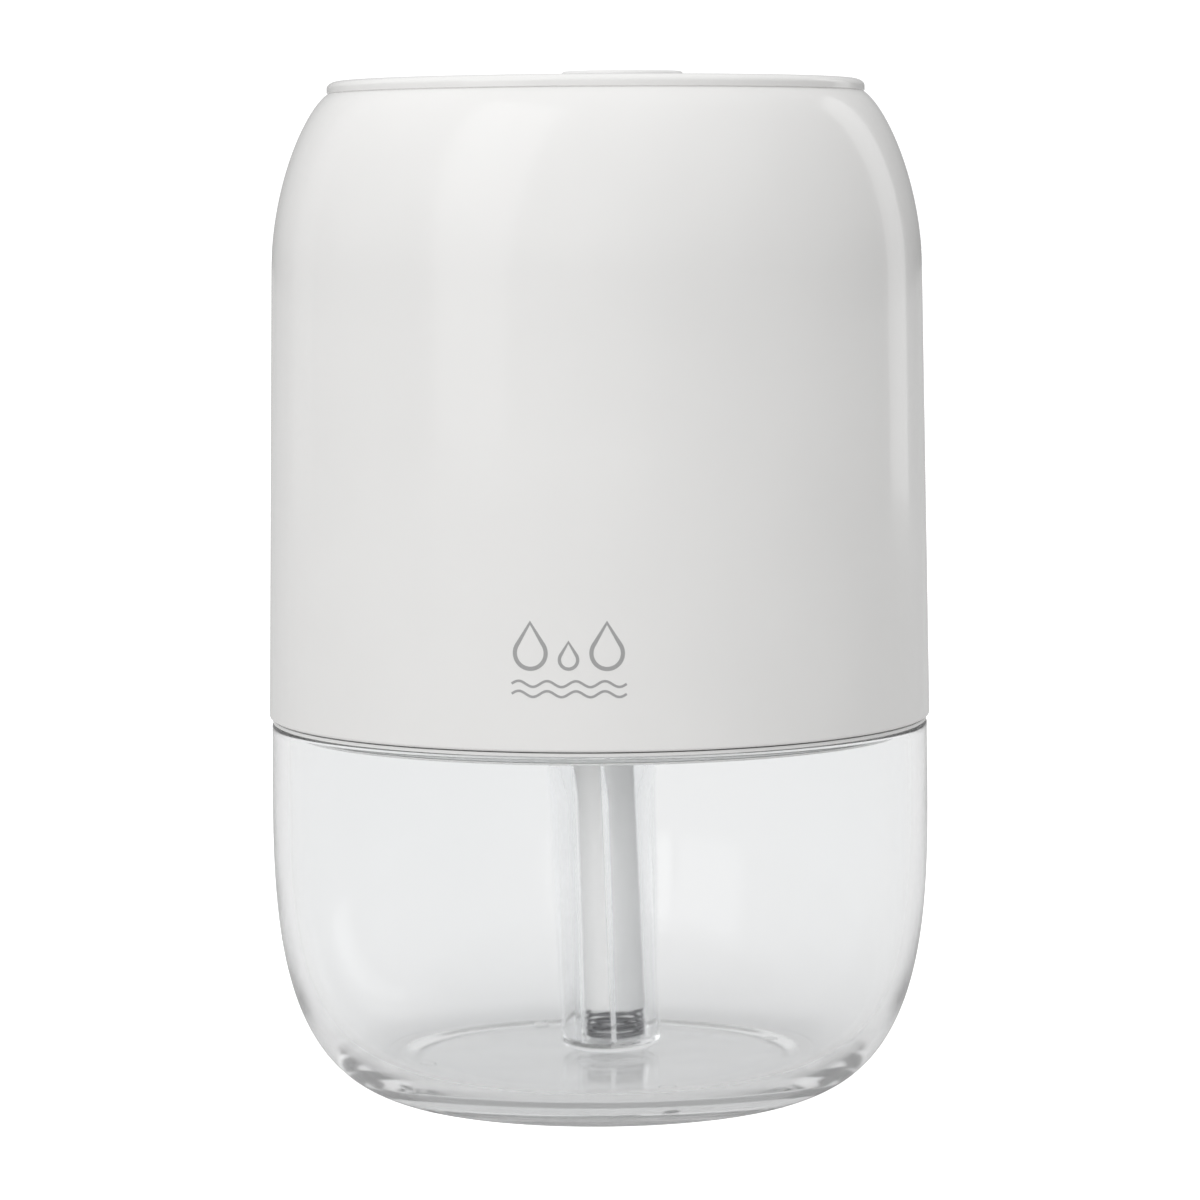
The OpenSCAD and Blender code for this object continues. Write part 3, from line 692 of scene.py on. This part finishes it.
def circuit_board():
    """Solder mask over a grid of tracks, with a little relief where they run."""
    made = Finish("circuit_board")
    tracks = made.node("ShaderNodeTexBrick")
    tracks.inputs["Scale"].default_value = 1 / (2.2 * MM)
    tracks.inputs["Mortar Size"].default_value = 0.06
    tracks.inputs["Mortar Smooth"].default_value = 0.2
    tracks.inputs["Color1"].default_value = (0.012, 0.1, 0.04, 1)
    tracks.inputs["Color2"].default_value = (0.016, 0.13, 0.05, 1)
    tracks.inputs["Mortar"].default_value = (0.03, 0.22, 0.09, 1)
    made.link(made.place, tracks.inputs["Vector"])
    made.link(tracks.outputs["Color"], made.shader.inputs["Base Color"])
    made.rough(made.noise(1.5), 0.25, 0.4)
    made.bump(tracks.outputs["Fac"], 0.03)
    return made.material


def print_grey():
    """Grey ink: a little uneven, and less glossy than the plastic under it."""
    made = Finish("print_grey")
    speck = made.noise(0.12, detail=4)
    made.colour(speck, (0.33, 0.33, 0.33), (0.38, 0.38, 0.38))
    made.rough(made.noise(1.2), 0.3, 0.42)
    made.bump(speck, 0.002)
    return made.material


FINISHES = {
    "white_gloss": white_gloss(),
    "white_matte": white_matte(),
    "button_white": button_white(),
    "black_plastic": black_plastic(),
    "connector_ivory": connector_ivory(),
    "led_white": led_white(),
    "ferrite": ferrite(),
    "lead_red": insulation("lead_red", (0.5, 0.04, 0.035)),
    "lead_grey": insulation("lead_grey", (0.22, 0.22, 0.24)),
    "silicone": silicone(),
    "clear_tank": clear_tank(),
    "clear_sleeve": clear_sleeve(),
    "frosted_plastic": frosted_plastic(),
    "cotton": cotton(),
    "spring_steel": metal("spring_steel", (0.24, 0.24, 0.25), 0.3, size=0.1),
    "screw_steel": metal("screw_steel", (0.6, 0.6, 0.62), 0.32, size=0.2),
    "socket_steel": metal("socket_steel", (0.68, 0.68, 0.7), 0.3, stretch=(1, 0.08, 1)),
    "mesh_steel": metal("mesh_steel", (0.62, 0.61, 0.58), 0.4, size=0.15),
    "capacitor_can": metal("capacitor_can", (0.72, 0.73, 0.75), 0.34, stretch=(1, 1, 0.05)),
    "piezo_ceramic": piezo_ceramic(),
    "circuit_board": circuit_board(),
}
INK = print_grey()


def coat(piece, finish):
    """Gives a new piece its finish and names the record's slot."""
    piece.data.materials.clear()
    piece.data.materials.append(FINISHES[finish])
    return piece


def stand_for(piece, node, body, finish):
    """A new piece that takes the place of one CAD node."""
    coat(piece, finish)
    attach(piece, body)
    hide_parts(node)
    return piece


# ---------------------------------------------------------------- pieces
def make_tank():
    """The clear tank, with a rounded bottom, a soft recess under it and four small feet."""
    outside = bezier([(TANK_BASE_R, 0), TANK_BULGE, (TANK_R, TANK_SIDE_Z), (TANK_R, TANK_LIP_Z)], TANK_STEPS)
    inside = bezier([
        (TANK_INNER_R, TANK_LIP_Z), (TANK_INNER_R, TANK_INNER_SIDE_Z),
        (TANK_INNER_BULGE_R, TANK_FLOOR), (TANK_INNER_FLOOR_R, TANK_FLOOR)
    ], TANK_STEPS)
    recess = bezier([
        (RECESS_INNER_R, TANK_RECESS), (RECESS_INNER_R + 2, TANK_RECESS),
        (RECESS_OUTER_R - 1.5, 0), (RECESS_OUTER_R, 0)
    ], RECESS_STEPS)
    lip = (TANK_LIP, TANK_LIP)
    outline = [Vector((0, TANK_RECESS)), Vector((TANK_RECESS_R / 2, TANK_RECESS))]
    outline += recess
    outline += outside
    outline += arc((TANK_R - TANK_LIP, TANK_LIP_Z), lip, 0, 90, 6)[1:]
    outline += arc((TANK_INNER_R + TANK_LIP, TANK_LIP_Z), lip, 90, 180, 6)
    outline += inside[1:]
    outline += [Vector((r, TANK_FLOOR)) for r in (TANK_INNER_FLOOR_R - 0.5, TANK_INNER_FLOOR_R / 2, 0)]
    tank = lathe("tank_clear", outline)
    foot_top_z = TANK_RECESS + FOOT_JOIN
    foot = rounded([(0, 0), (FOOT_R, 0, FOOT_ROUND), (FOOT_R, foot_top_z), (0, foot_top_z)])
    feet = []
    for k in range(FEET):
        feet.append(lathe("foot", foot, 32, turned(FOOT_TURN + k * 2 * math.pi / FEET, FOOT_OUT)))
    combine(tank, feet, "UNION")
    return stand_for(tank, "water_tank", "tank", "clear_tank")


def make_shell():
    """The white shell, with its screw bosses inside and the inlet's recess at the back."""
    shoulder = bezier([
        (SHOULDER_R, SHOULDER_Z), (SHOULDER_R - SHOULDER_LEAN, SHOULDER_Z + SHOULDER_RISE),
        (LID_R + CROWN_REACH, CROWN_Z - CROWN_RISE), (LID_R - CROWN_STEP, CROWN_Z)
    ], SHOULDER_STEPS)
    edge_at = (SHELL_R - SHELL_EDGE, SEAM_Z + SHELL_EDGE)
    crown_under_z = CROWN_Z - SHELL_WALL
    outline = [Vector((SHELL_R - SHELL_WALL, SEAM_Z))]
    outline += arc(edge_at, (SHELL_EDGE, SHELL_EDGE), -90, 0, ROUND_STEPS)
    outline += shoulder
    outline += [Vector((CROWN_BORE_R + CROWN_CHAMFER, CROWN_Z))]
    outline += [Vector((CROWN_BORE_R, z)) for z in (CROWN_Z - CROWN_CHAMFER, crown_under_z)]
    outline += [p for p in reversed(inset(shoulder, SHELL_WALL)) if p.y < crown_under_z - OVERLAP]
    shell = lathe("shell_white", outline)
    boss = rounded([
        (BOSS_PILOT_R, BOSS_Z), (BOSS_R, BOSS_Z, 0.2), (BOSS_R, BOSS_TOP_Z, 0.3),
        (0, BOSS_TOP_Z), (0, BOSS_TOP_Z - BOSS_CEILING), (BOSS_PILOT_R, BOSS_TOP_Z - BOSS_CEILING)
    ])
    rib_low = (BOSS_OUT + BOSS_R - RIB_BITE, -RIB_T / 2, BOSS_Z + RIB_LOW_STEP)
    rib_high = (SHELL_R - SHELL_WALL + OVERLAP, RIB_T / 2, BOSS_TOP_Z - RIB_TOP_STEP)
    joined = []
    for k in range(BOSSES):
        turn = math.radians(45) + k * 2 * math.pi / BOSSES
        joined.append(lathe("boss", boss, HOLE_SEGMENTS, turned(turn, BOSS_OUT)))
        joined.append(block("rib", rib_low, rib_high, turned(turn)))
    combine(shell, joined, "UNION")
    usb_z = (usb_low.z + usb_high.z) / 2
    recess = oblong_bar(
        "recess", USB_RECESS_W, USB_RECESS_H, usb_high.y + USB_RECESS_STEP, usb_high.y + USB_CUT, usb_z
    )
    window = oblong_bar(
        "window", usb_high.x * 2 + USB_WINDOW_GAP, usb_high.z - usb_low.z + USB_WINDOW_GAP,
        usb_high.y - USB_CUT, usb_high.y + USB_WINDOW_OUT, usb_z
    )
    combine(shell, [recess, window], "DIFFERENCE")
    return stand_for(shell, "outer_shell", "upper_unit", "white_gloss")


def make_lid():
    """The lid: a rounded rim, a dish round the outlet, and holes for the button and the light pipe."""
    rim_z = CROWN_Z + LID_RIM_H
    rim = arc((LID_R - LID_ROUND_W, rim_z), (LID_ROUND_W, LID_TOP_Z - rim_z), 0, 90, 20)
    bore_r = NOZZLE_R + NOZZLE_GAP
    skirt_inner_r = SKIRT_R - SKIRT_T
    outline = rounded([
        (bore_r, LID_UNDER_Z), (skirt_inner_r, LID_UNDER_Z, 0.4), (skirt_inner_r, SKIRT_LOW_Z, 0.3),
        (SKIRT_R, SKIRT_LOW_Z, 0.5), (SKIRT_R, CROWN_Z),
        (LID_R - LID_EDGE, CROWN_Z), (LID_R, CROWN_Z + LID_EDGE)
    ])
    outline += rim
    outline += rounded([
        (LID_R - LID_ROUND_W, LID_TOP_Z), (DISH_R, LID_TOP_Z, 0.3), (DISH_FLOOR_R, LID_TOP_Z - DISH_H, 0.3),
        (bore_r, LID_TOP_Z - DISH_H), (bore_r, LID_UNDER_Z), (skirt_inner_r, LID_UNDER_Z)
    ])[1:-2]
    lid = lathe("lid_white", outline)
    hole_r = BUTTON_CAP_R + BUTTON_GAP
    button_place = Matrix.Translation((BUTTON_AT.x, BUTTON_AT.y, 0))
    button_hole = lathe("button_hole", [
        Vector((0, LID_UNDER_Z - 1)), Vector((hole_r, LID_UNDER_Z - 1)),
        Vector((hole_r, LID_TOP_Z - HOLE_EDGE)), Vector((hole_r + HOLE_EDGE_STEP, LID_TOP_Z - HOLE_EDGE_STEP)),
        Vector((hole_r + HOLE_EDGE + OVERLAP, LID_TOP_Z + OVERLAP)), Vector((0, LID_TOP_Z + OVERLAP))
    ], FINE_SEGMENTS, button_place)
    pipe_place = button_place @ turned(BUTTON_TURN, PIPE_OUT)
    pipe_hole_r = PIPE_R + PIPE_GAP
    pipe_hole = lathe("pipe_hole", rounded([
        (0, LID_UNDER_Z - 1), (pipe_hole_r, LID_UNDER_Z - 1), (pipe_hole_r, LID_TOP_Z + 1), (0, LID_TOP_Z + 1)
    ]), HOLE_SEGMENTS, pipe_place)
    combine(lid, [button_hole, pipe_hole], "DIFFERENCE")
    return stand_for(lid, "top_cover", "upper_unit", "white_gloss")


def make_nozzle():
    """The mist outlet's flared ring."""
    flange_z = LID_TOP_Z - DISH_H
    outline = rounded([
        (NOZZLE_BORE_R, nozzle_low.z, 0.2), (NOZZLE_R, nozzle_low.z, 0.4), (NOZZLE_R, flange_z),
        (NOZZLE_FLANGE_R, flange_z, 0.1), (NOZZLE_FLANGE_R, nozzle_high.z, 0.6),
        (NOZZLE_BORE_R + NOZZLE_FLARE_W, nozzle_high.z, 0.25),
        (NOZZLE_BORE_R, nozzle_high.z - NOZZLE_FLARE_H, 0.8)
    ], ROUND_STEPS)
    nozzle = lathe("nozzle_white", outline, 160)
    return stand_for(nozzle, "mist_nozzle", "upper_unit", "white_matte")


def make_button():
    """The button's cap: a slightly dished top, a flange that holds it in, and a peg over the switch."""
    place = Matrix.Translation((BUTTON_AT.x, BUTTON_AT.y, 0))
    low_z = button_low.z + BUTTON_FLANGE_RISE
    flange_z = low_z + BUTTON_FLANGE_T
    roof_z = BUTTON_TOP_Z - BUTTON_ROOF
    top = []
    for r in (5.2, 4.2, 3.2, 2.2, 1.1):
        top.append((r, BUTTON_TOP_Z - BUTTON_DIP * (1 - (r / BUTTON_INNER_R) ** 2)))
    outline = rounded([
        (BUTTON_INNER_R, low_z), (BUTTON_FLANGE_R, low_z, 0.15), (BUTTON_FLANGE_R, flange_z, 0.15),
        (BUTTON_CAP_R, flange_z), (BUTTON_CAP_R, BUTTON_TOP_Z, 0.5), (BUTTON_INNER_R, BUTTON_TOP_Z, 0.4),
        *top, (0, BUTTON_TOP_Z - BUTTON_DIP), (0, button_low.z), (BUTTON_PEG_R, button_low.z, 0.2),
        (BUTTON_PEG_R, roof_z, 0.3), (BUTTON_INNER_R, roof_z, 0.3)
    ], ROUND_STEPS)
    button = lathe("button_cap", outline, FINE_SEGMENTS, place)
    return stand_for(button, "power_button", "button", "button_white")


def make_sleeve():
    """The clear sleeve, leaning a little, with a slot in each of two sides."""
    lean = leaning(SLEEVE_LEAN)
    outer_end = (SLEEVE_END_R - SLEEVE_ROUND, SLEEVE_Z + SLEEVE_ROUND)
    inner_end = (WICK_BORE_R - SLEEVE_INNER_ROUND, SLEEVE_FLOOR_Z + SLEEVE_INNER_ROUND)
    outline = [Vector((0, SLEEVE_Z))]
    outline += arc(outer_end, (SLEEVE_ROUND, SLEEVE_ROUND), -90, 0, SLEEVE_ROUND_STEPS)
    outline += [Vector((SLEEVE_TOP_R, SLEEVE_TOP_Z - SLEEVE_CHAMFER))]
    outline += [Vector((SLEEVE_TOP_R - SLEEVE_CHAMFER, SLEEVE_TOP_Z))]
    outline += [Vector((SOCKET_R, SLEEVE_TOP_Z)), Vector((SOCKET_R, SOCKET_Z)), Vector((WICK_BORE_R, NECK_Z))]
    outline += arc(inner_end, (SLEEVE_INNER_ROUND, SLEEVE_INNER_ROUND), 0, -90, ROUND_STEPS)
    outline += [Vector((0, SLEEVE_FLOOR_Z))]
    sleeve = lathe("sleeve_clear", outline, SLEEVE_SEGMENTS, lean)
    slot_low = (-SLOT_W / 2, -SLEEVE_TOP_R - 1, SLOT_LOW_Z)
    slot_high = (SLOT_W / 2, -STICK_R / 2, SLOT_HIGH_Z)
    slots = [block("slot", slot_low, slot_high, lean @ turned(turn - SLOT_TURN)) for turn in (0, math.pi)]
    combine(sleeve, slots, "DIFFERENCE")
    return stand_for(sleeve, "filter_sleeve", "upper_unit", "clear_sleeve")


def stick_path():
    """Straight down the tower, then bent a little into the leaning sleeve."""
    path = []
    top_z = stick_high.z
    low_z = stick_low.z + STICK_R * math.sin(STICK_LEAN)
    for i in range(STICK_STEPS + 1):
        z = top_z + (low_z - top_z) * i / STICK_STEPS
        below = LEAN_Z + STICK_BEND / 2 - z
        if below <= 0:
            x = 0.0
        elif below < STICK_BEND:
            x = math.tan(STICK_LEAN) * below * below / (2 * STICK_BEND)
        else:
            x = math.tan(STICK_LEAN) * (below - STICK_BEND / 2)
        path.append((x, 0, z))
    return path


def make_stick():
    """The cotton stick, with shallow hollows between its fibres."""
    def surface(middle, angle):
        spot = Vector((math.cos(angle) * FIBRE_FINENESS, math.sin(angle) * FIBRE_FINENESS,
                       middle.z * FIBRE_LENGTH_SCALE))
        return STICK_R - FIBRE_CLEARANCE - FIBRE_DEPTH * (0.5 + 0.5 * noise.noise(spot))

    stick = sweep("stick_cotton", stick_path(), surface, STICK_SIDES, STICK_END_ROUND)
    return stand_for(stick, "filter_stick", "upper_unit", "cotton")


def make_spring():
    """The steel spring, whose turns lie a little closer together at the bottom."""
    lean = leaning(STICK_LEAN)
    count = SPRING_TURNS * SPRING_TURN_STEPS
    path = []
    for i in range(count + 1):
        angle = 2 * math.pi * i / SPRING_TURN_STEPS
        t = i / count
        z = SPRING_LOW_Z + SPRING_RISE * (SPRING_EVENNESS * t + (1 - SPRING_EVENNESS) * t * t)
        path.append(lean @ Vector((SPRING_R * math.cos(angle), SPRING_R * math.sin(angle), z)))
    spring = sweep("spring_wire", path, WIRE_R, WIRE_SIDES, WIRE_END_ROUND)
    return stand_for(spring, "filter_spring", "upper_unit", "spring_steel")


def make_seal():
    """The silicone ring round the collar."""
    outer_r = seal_high.x
    outline = rounded([
        (SEAL_BORE_R, seal_low.z, SEAL_BORE_FILLET), (outer_r - SEAL_BEVEL_R, seal_low.z, SEAL_FILLET),
        (outer_r, seal_low.z + SEAL_BEVEL_H, SEAL_FILLET), (outer_r, seal_high.z - SEAL_BEVEL_H, SEAL_FILLET),
        (outer_r - SEAL_BEVEL_R, seal_high.z, SEAL_FILLET), (SEAL_BORE_R, seal_high.z, SEAL_BORE_FILLET)
    ])
    seal = lathe("seal_ring", outline)
    return stand_for(seal, "tank_seal", "upper_unit", "silicone")


def shell_r_at(z):
    """The shell's outer radius at a height on its straight side."""
    low_r, low_z = SHELL_R, SEAM_Z + SHELL_EDGE
    return low_r + (SHOULDER_R - low_r) * (z - low_z) / (SHOULDER_Z - low_z)


def stroke(work, line, width, closed=False):
    """A printed line on the shell: (arc length from the middle, height) points, with round ends."""
    points = [Vector(p) for p in line]
    count = len(points)
    edges = []
    for i, p in enumerate(points):
        if closed:
            before, after = points[i - 1], points[(i + 1) % count]
        else:
            before, after = points[max(i - 1, 0)], points[min(i + 1, count - 1)]
        along = (after - before).normalized()
        across = Vector((-along.y, along.x)) * width / 2
        edges.append((p + across, p - across))
    rows = []
    for left, right in edges:
        row = []
        for spot in (left, right):
            r = shell_r_at(spot.y)
            angle = spot.x / r
            for reach in (r - INK_T, r + INK_T):
                row.append(work.verts.new((reach * math.sin(angle), -reach * math.cos(angle), spot.y)))
        rows.append(row)
    pairs = list(zip(rows, rows[1:] + rows[:1])) if closed else list(zip(rows, rows[1:]))
    for near, far in pairs:
        for a, b in ((0, 1), (1, 3), (3, 2), (2, 0)):
            work.faces.new((near[a], near[b], far[b], far[a]))
    if not closed:
        work.faces.new((rows[0][0], rows[0][1], rows[0][3], rows[0][2]))
        work.faces.new((rows[-1][0], rows[-1][2], rows[-1][3], rows[-1][1]))


def drop_outline(middle_x, height):
    """A water drop: a round bottom that runs up to a point."""
    r = height * DROP_ROUNDNESS
    tip_z = MARK_Z + height
    middle_z = MARK_Z + r
    touch = math.acos(r / (tip_z - middle_z))
    outline = [(middle_x, tip_z)]
    for i in range(DROP_STEPS + 1):
        angle = touch + (2 * math.pi - 2 * touch) * i / DROP_STEPS
        outline.append((middle_x + r * math.sin(angle), middle_z + r * math.cos(angle)))
    return outline


def make_mark():
    """A generic mark in grey ink: water drops over two waves."""
    work = bmesh.new()
    stroke(work, drop_outline(MARK_X - DROP_SPACING, BIG_DROP_H), BIG_DROP_LINE, closed=True)
    stroke(work, drop_outline(MARK_X + DROP_SPACING, BIG_DROP_H), BIG_DROP_LINE, closed=True)
    stroke(work, drop_outline(MARK_X, SMALL_DROP_H), SMALL_DROP_LINE, closed=True)
    for level in WAVE_LEVELS:
        wave = []
        for i in range(WAVE_STEPS + 1):
            x = -WAVE_HALF + 2 * WAVE_HALF * i / WAVE_STEPS
            wave.append((MARK_X + x, level + WAVE_H * math.sin(x * 2 * math.pi / WAVE_LENGTH)))
        stroke(work, wave, WAVE_LINE)
    mark = to_piece(work, "printed_mark")
    mark.data.materials.append(INK)
    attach(mark, "upper_unit")
    return mark


make_tank()
make_shell()
make_lid()
make_nozzle()
make_button()
make_sleeve()
make_stick()
make_spring()
make_seal()
make_mark()

# Every CAD node that still shows gets its finish by its record slot
for entry in nodes.values():
    entry.data.materials[0] = FINISHES[entry.data.materials[0].name.split(".")[0]]


# ---------------------------------------------------------------- floor, light and camera
def make_floor():
    """A pale floor: bright white to the camera but for the soft shade that it receives."""
    work = bmesh.new()
    bmesh.ops.create_circle(work, cap_ends=True, radius=FLOOR_R, segments=FLOOR_SEGMENTS)
    floor = to_piece(work, "floor")
    made = Finish("pale_floor")
    made.colour(made.noise(400), (0.59, 0.59, 0.59), (0.61, 0.61, 0.61))
    made.set(Roughness=0.8)
    glow = made.node("ShaderNodeEmission")
    path = made.node("ShaderNodeLightPath")
    through = made.node("ShaderNodeMath", operation="MULTIPLY")
    through.inputs[1].default_value = FLOOR_THROUGH_GLOW
    share = made.node("ShaderNodeMath", operation="MULTIPLY_ADD")
    share.inputs[1].default_value = FLOOR_CAMERA_GLOW
    made.link(path.outputs["Is Transmission Ray"], through.inputs[0])
    made.link(path.outputs["Is Camera Ray"], share.inputs[0])
    made.link(through.outputs["Value"], share.inputs[2])
    made.link(share.outputs["Value"], glow.inputs["Strength"])
    both = made.node("ShaderNodeAddShader")
    made.link(made.shader.outputs["BSDF"], both.inputs[0])
    made.link(glow.outputs["Emission"], both.inputs[1])
    made.link(both.outputs["Shader"], made.output.inputs["Surface"])
    floor.data.materials.append(made.material)


def make_world():
    """White behind the object, and a softer studio round it: brighter above and to the left."""
    world = bpy.data.worlds.new("studio")
    bpy.context.scene.world = world
    world.use_nodes = True
    tree = world.node_tree
    back = tree.nodes["Background"]
    front = tree.nodes.new("ShaderNodeBackground")
    front.inputs["Strength"].default_value = WORLD_CAMERA
    for background in (back, front):
        background.inputs["Color"].default_value = (1, 1, 1, 1)
    place = tree.nodes.new("ShaderNodeTexCoord")
    split = tree.nodes.new("ShaderNodeSeparateXYZ")
    tree.links.new(place.outputs["Generated"], split.inputs["Vector"])
    sideways = tree.nodes.new("ShaderNodeMapRange")
    sideways.inputs["From Min"].default_value = -1
    sideways.inputs["To Min"].default_value = WORLD_LEFT
    sideways.inputs["To Max"].default_value = WORLD_RIGHT
    tree.links.new(split.outputs["X"], sideways.inputs["Value"])
    upward = tree.nodes.new("ShaderNodeMapRange")
    upward.inputs["To Max"].default_value = WORLD_TOP
    tree.links.new(split.outputs["Z"], upward.inputs["Value"])
    total = tree.nodes.new("ShaderNodeMath")
    tree.links.new(sideways.outputs["Result"], total.inputs[0])
    tree.links.new(upward.outputs["Result"], total.inputs[1])
    path = tree.nodes.new("ShaderNodeLightPath")
    seen_through = tree.nodes.new("ShaderNodeMix")
    tree.links.new(path.outputs["Is Transmission Ray"], seen_through.inputs["Factor"])
    tree.links.new(total.outputs["Value"], seen_through.inputs["A"])
    seen_through.inputs["B"].default_value = WORLD_THROUGH
    tree.links.new(seen_through.outputs["Result"], back.inputs["Strength"])
    both = tree.nodes.new("ShaderNodeMixShader")
    tree.links.new(path.outputs["Is Camera Ray"], both.inputs["Fac"])
    tree.links.new(back.outputs["Background"], both.inputs[1])
    tree.links.new(front.outputs["Background"], both.inputs[2])
    tree.links.new(both.outputs["Shader"], tree.nodes["World Output"].inputs["Surface"])


def softbox(name, azimuth, elevation, distance, width, height, power):
    """A soft rectangular light that faces the object, with its distance and size in metres.

    Azimuth and elevation are in degrees: azimuth 0 is the camera's side, and 90 the right.
    """
    around = math.radians(azimuth)
    up = math.radians(elevation)
    out = Vector((math.sin(around) * math.cos(up), -math.cos(around) * math.cos(up), math.sin(up)))
    light = bpy.data.lights.new(name, "AREA")
    light.shape = "RECTANGLE"
    light.size = width
    light.size_y = height
    light.energy = power
    lamp = bpy.data.objects.new(name, light)
    bpy.context.scene.collection.objects.link(lamp)
    lamp.location = CENTRE + out * distance
    lamp.rotation_mode = "QUATERNION"
    lamp.rotation_quaternion = out.to_track_quat("Z", "Y")
    return lamp


make_floor()
make_world()
softbox("key_light", -44, 30, 1.3, 0.7, 1.9, 3.2)
fill = softbox("front_fill", -6, 8, 1.5, 1.2, 0.8, 4.8)
fill.visible_glossy = False
softbox("right_strip", 129, 10, 1.0, 0.28, 1.0, 0.6)
softbox("left_strip", -124, 10, 1.0, 0.28, 1.0, 0.12)

camera_data = bpy.data.cameras.new("camera")
camera_data.lens = CAMERA_LENS
camera_data.sensor_width = CAMERA_FILM
camera = bpy.data.objects.new("camera", camera_data)
bpy.context.scene.collection.objects.link(camera)
camera.rotation_mode = "QUATERNION"
camera.location = CAMERA_AT
tilt = Matrix.Rotation(math.radians(90) - CAMERA_DOWN, 3, "X") @ Matrix.Rotation(CAMERA_TURN, 3, "Z")
camera.rotation_quaternion = tilt.to_quaternion()
bpy.context.scene.camera = camera
bpy.context.scene.view_settings.view_transform = "Standard"

# Light passes through many clear walls, and turns back inside them, before it is given up
paths = bpy.context.scene.cycles
paths.max_bounces = LIGHT_TURNS
paths.transmission_bounces = LIGHT_TURNS
paths.glossy_bounces = LIGHT_TURNS
paths.transparent_max_bounces = LIGHT_TURNS
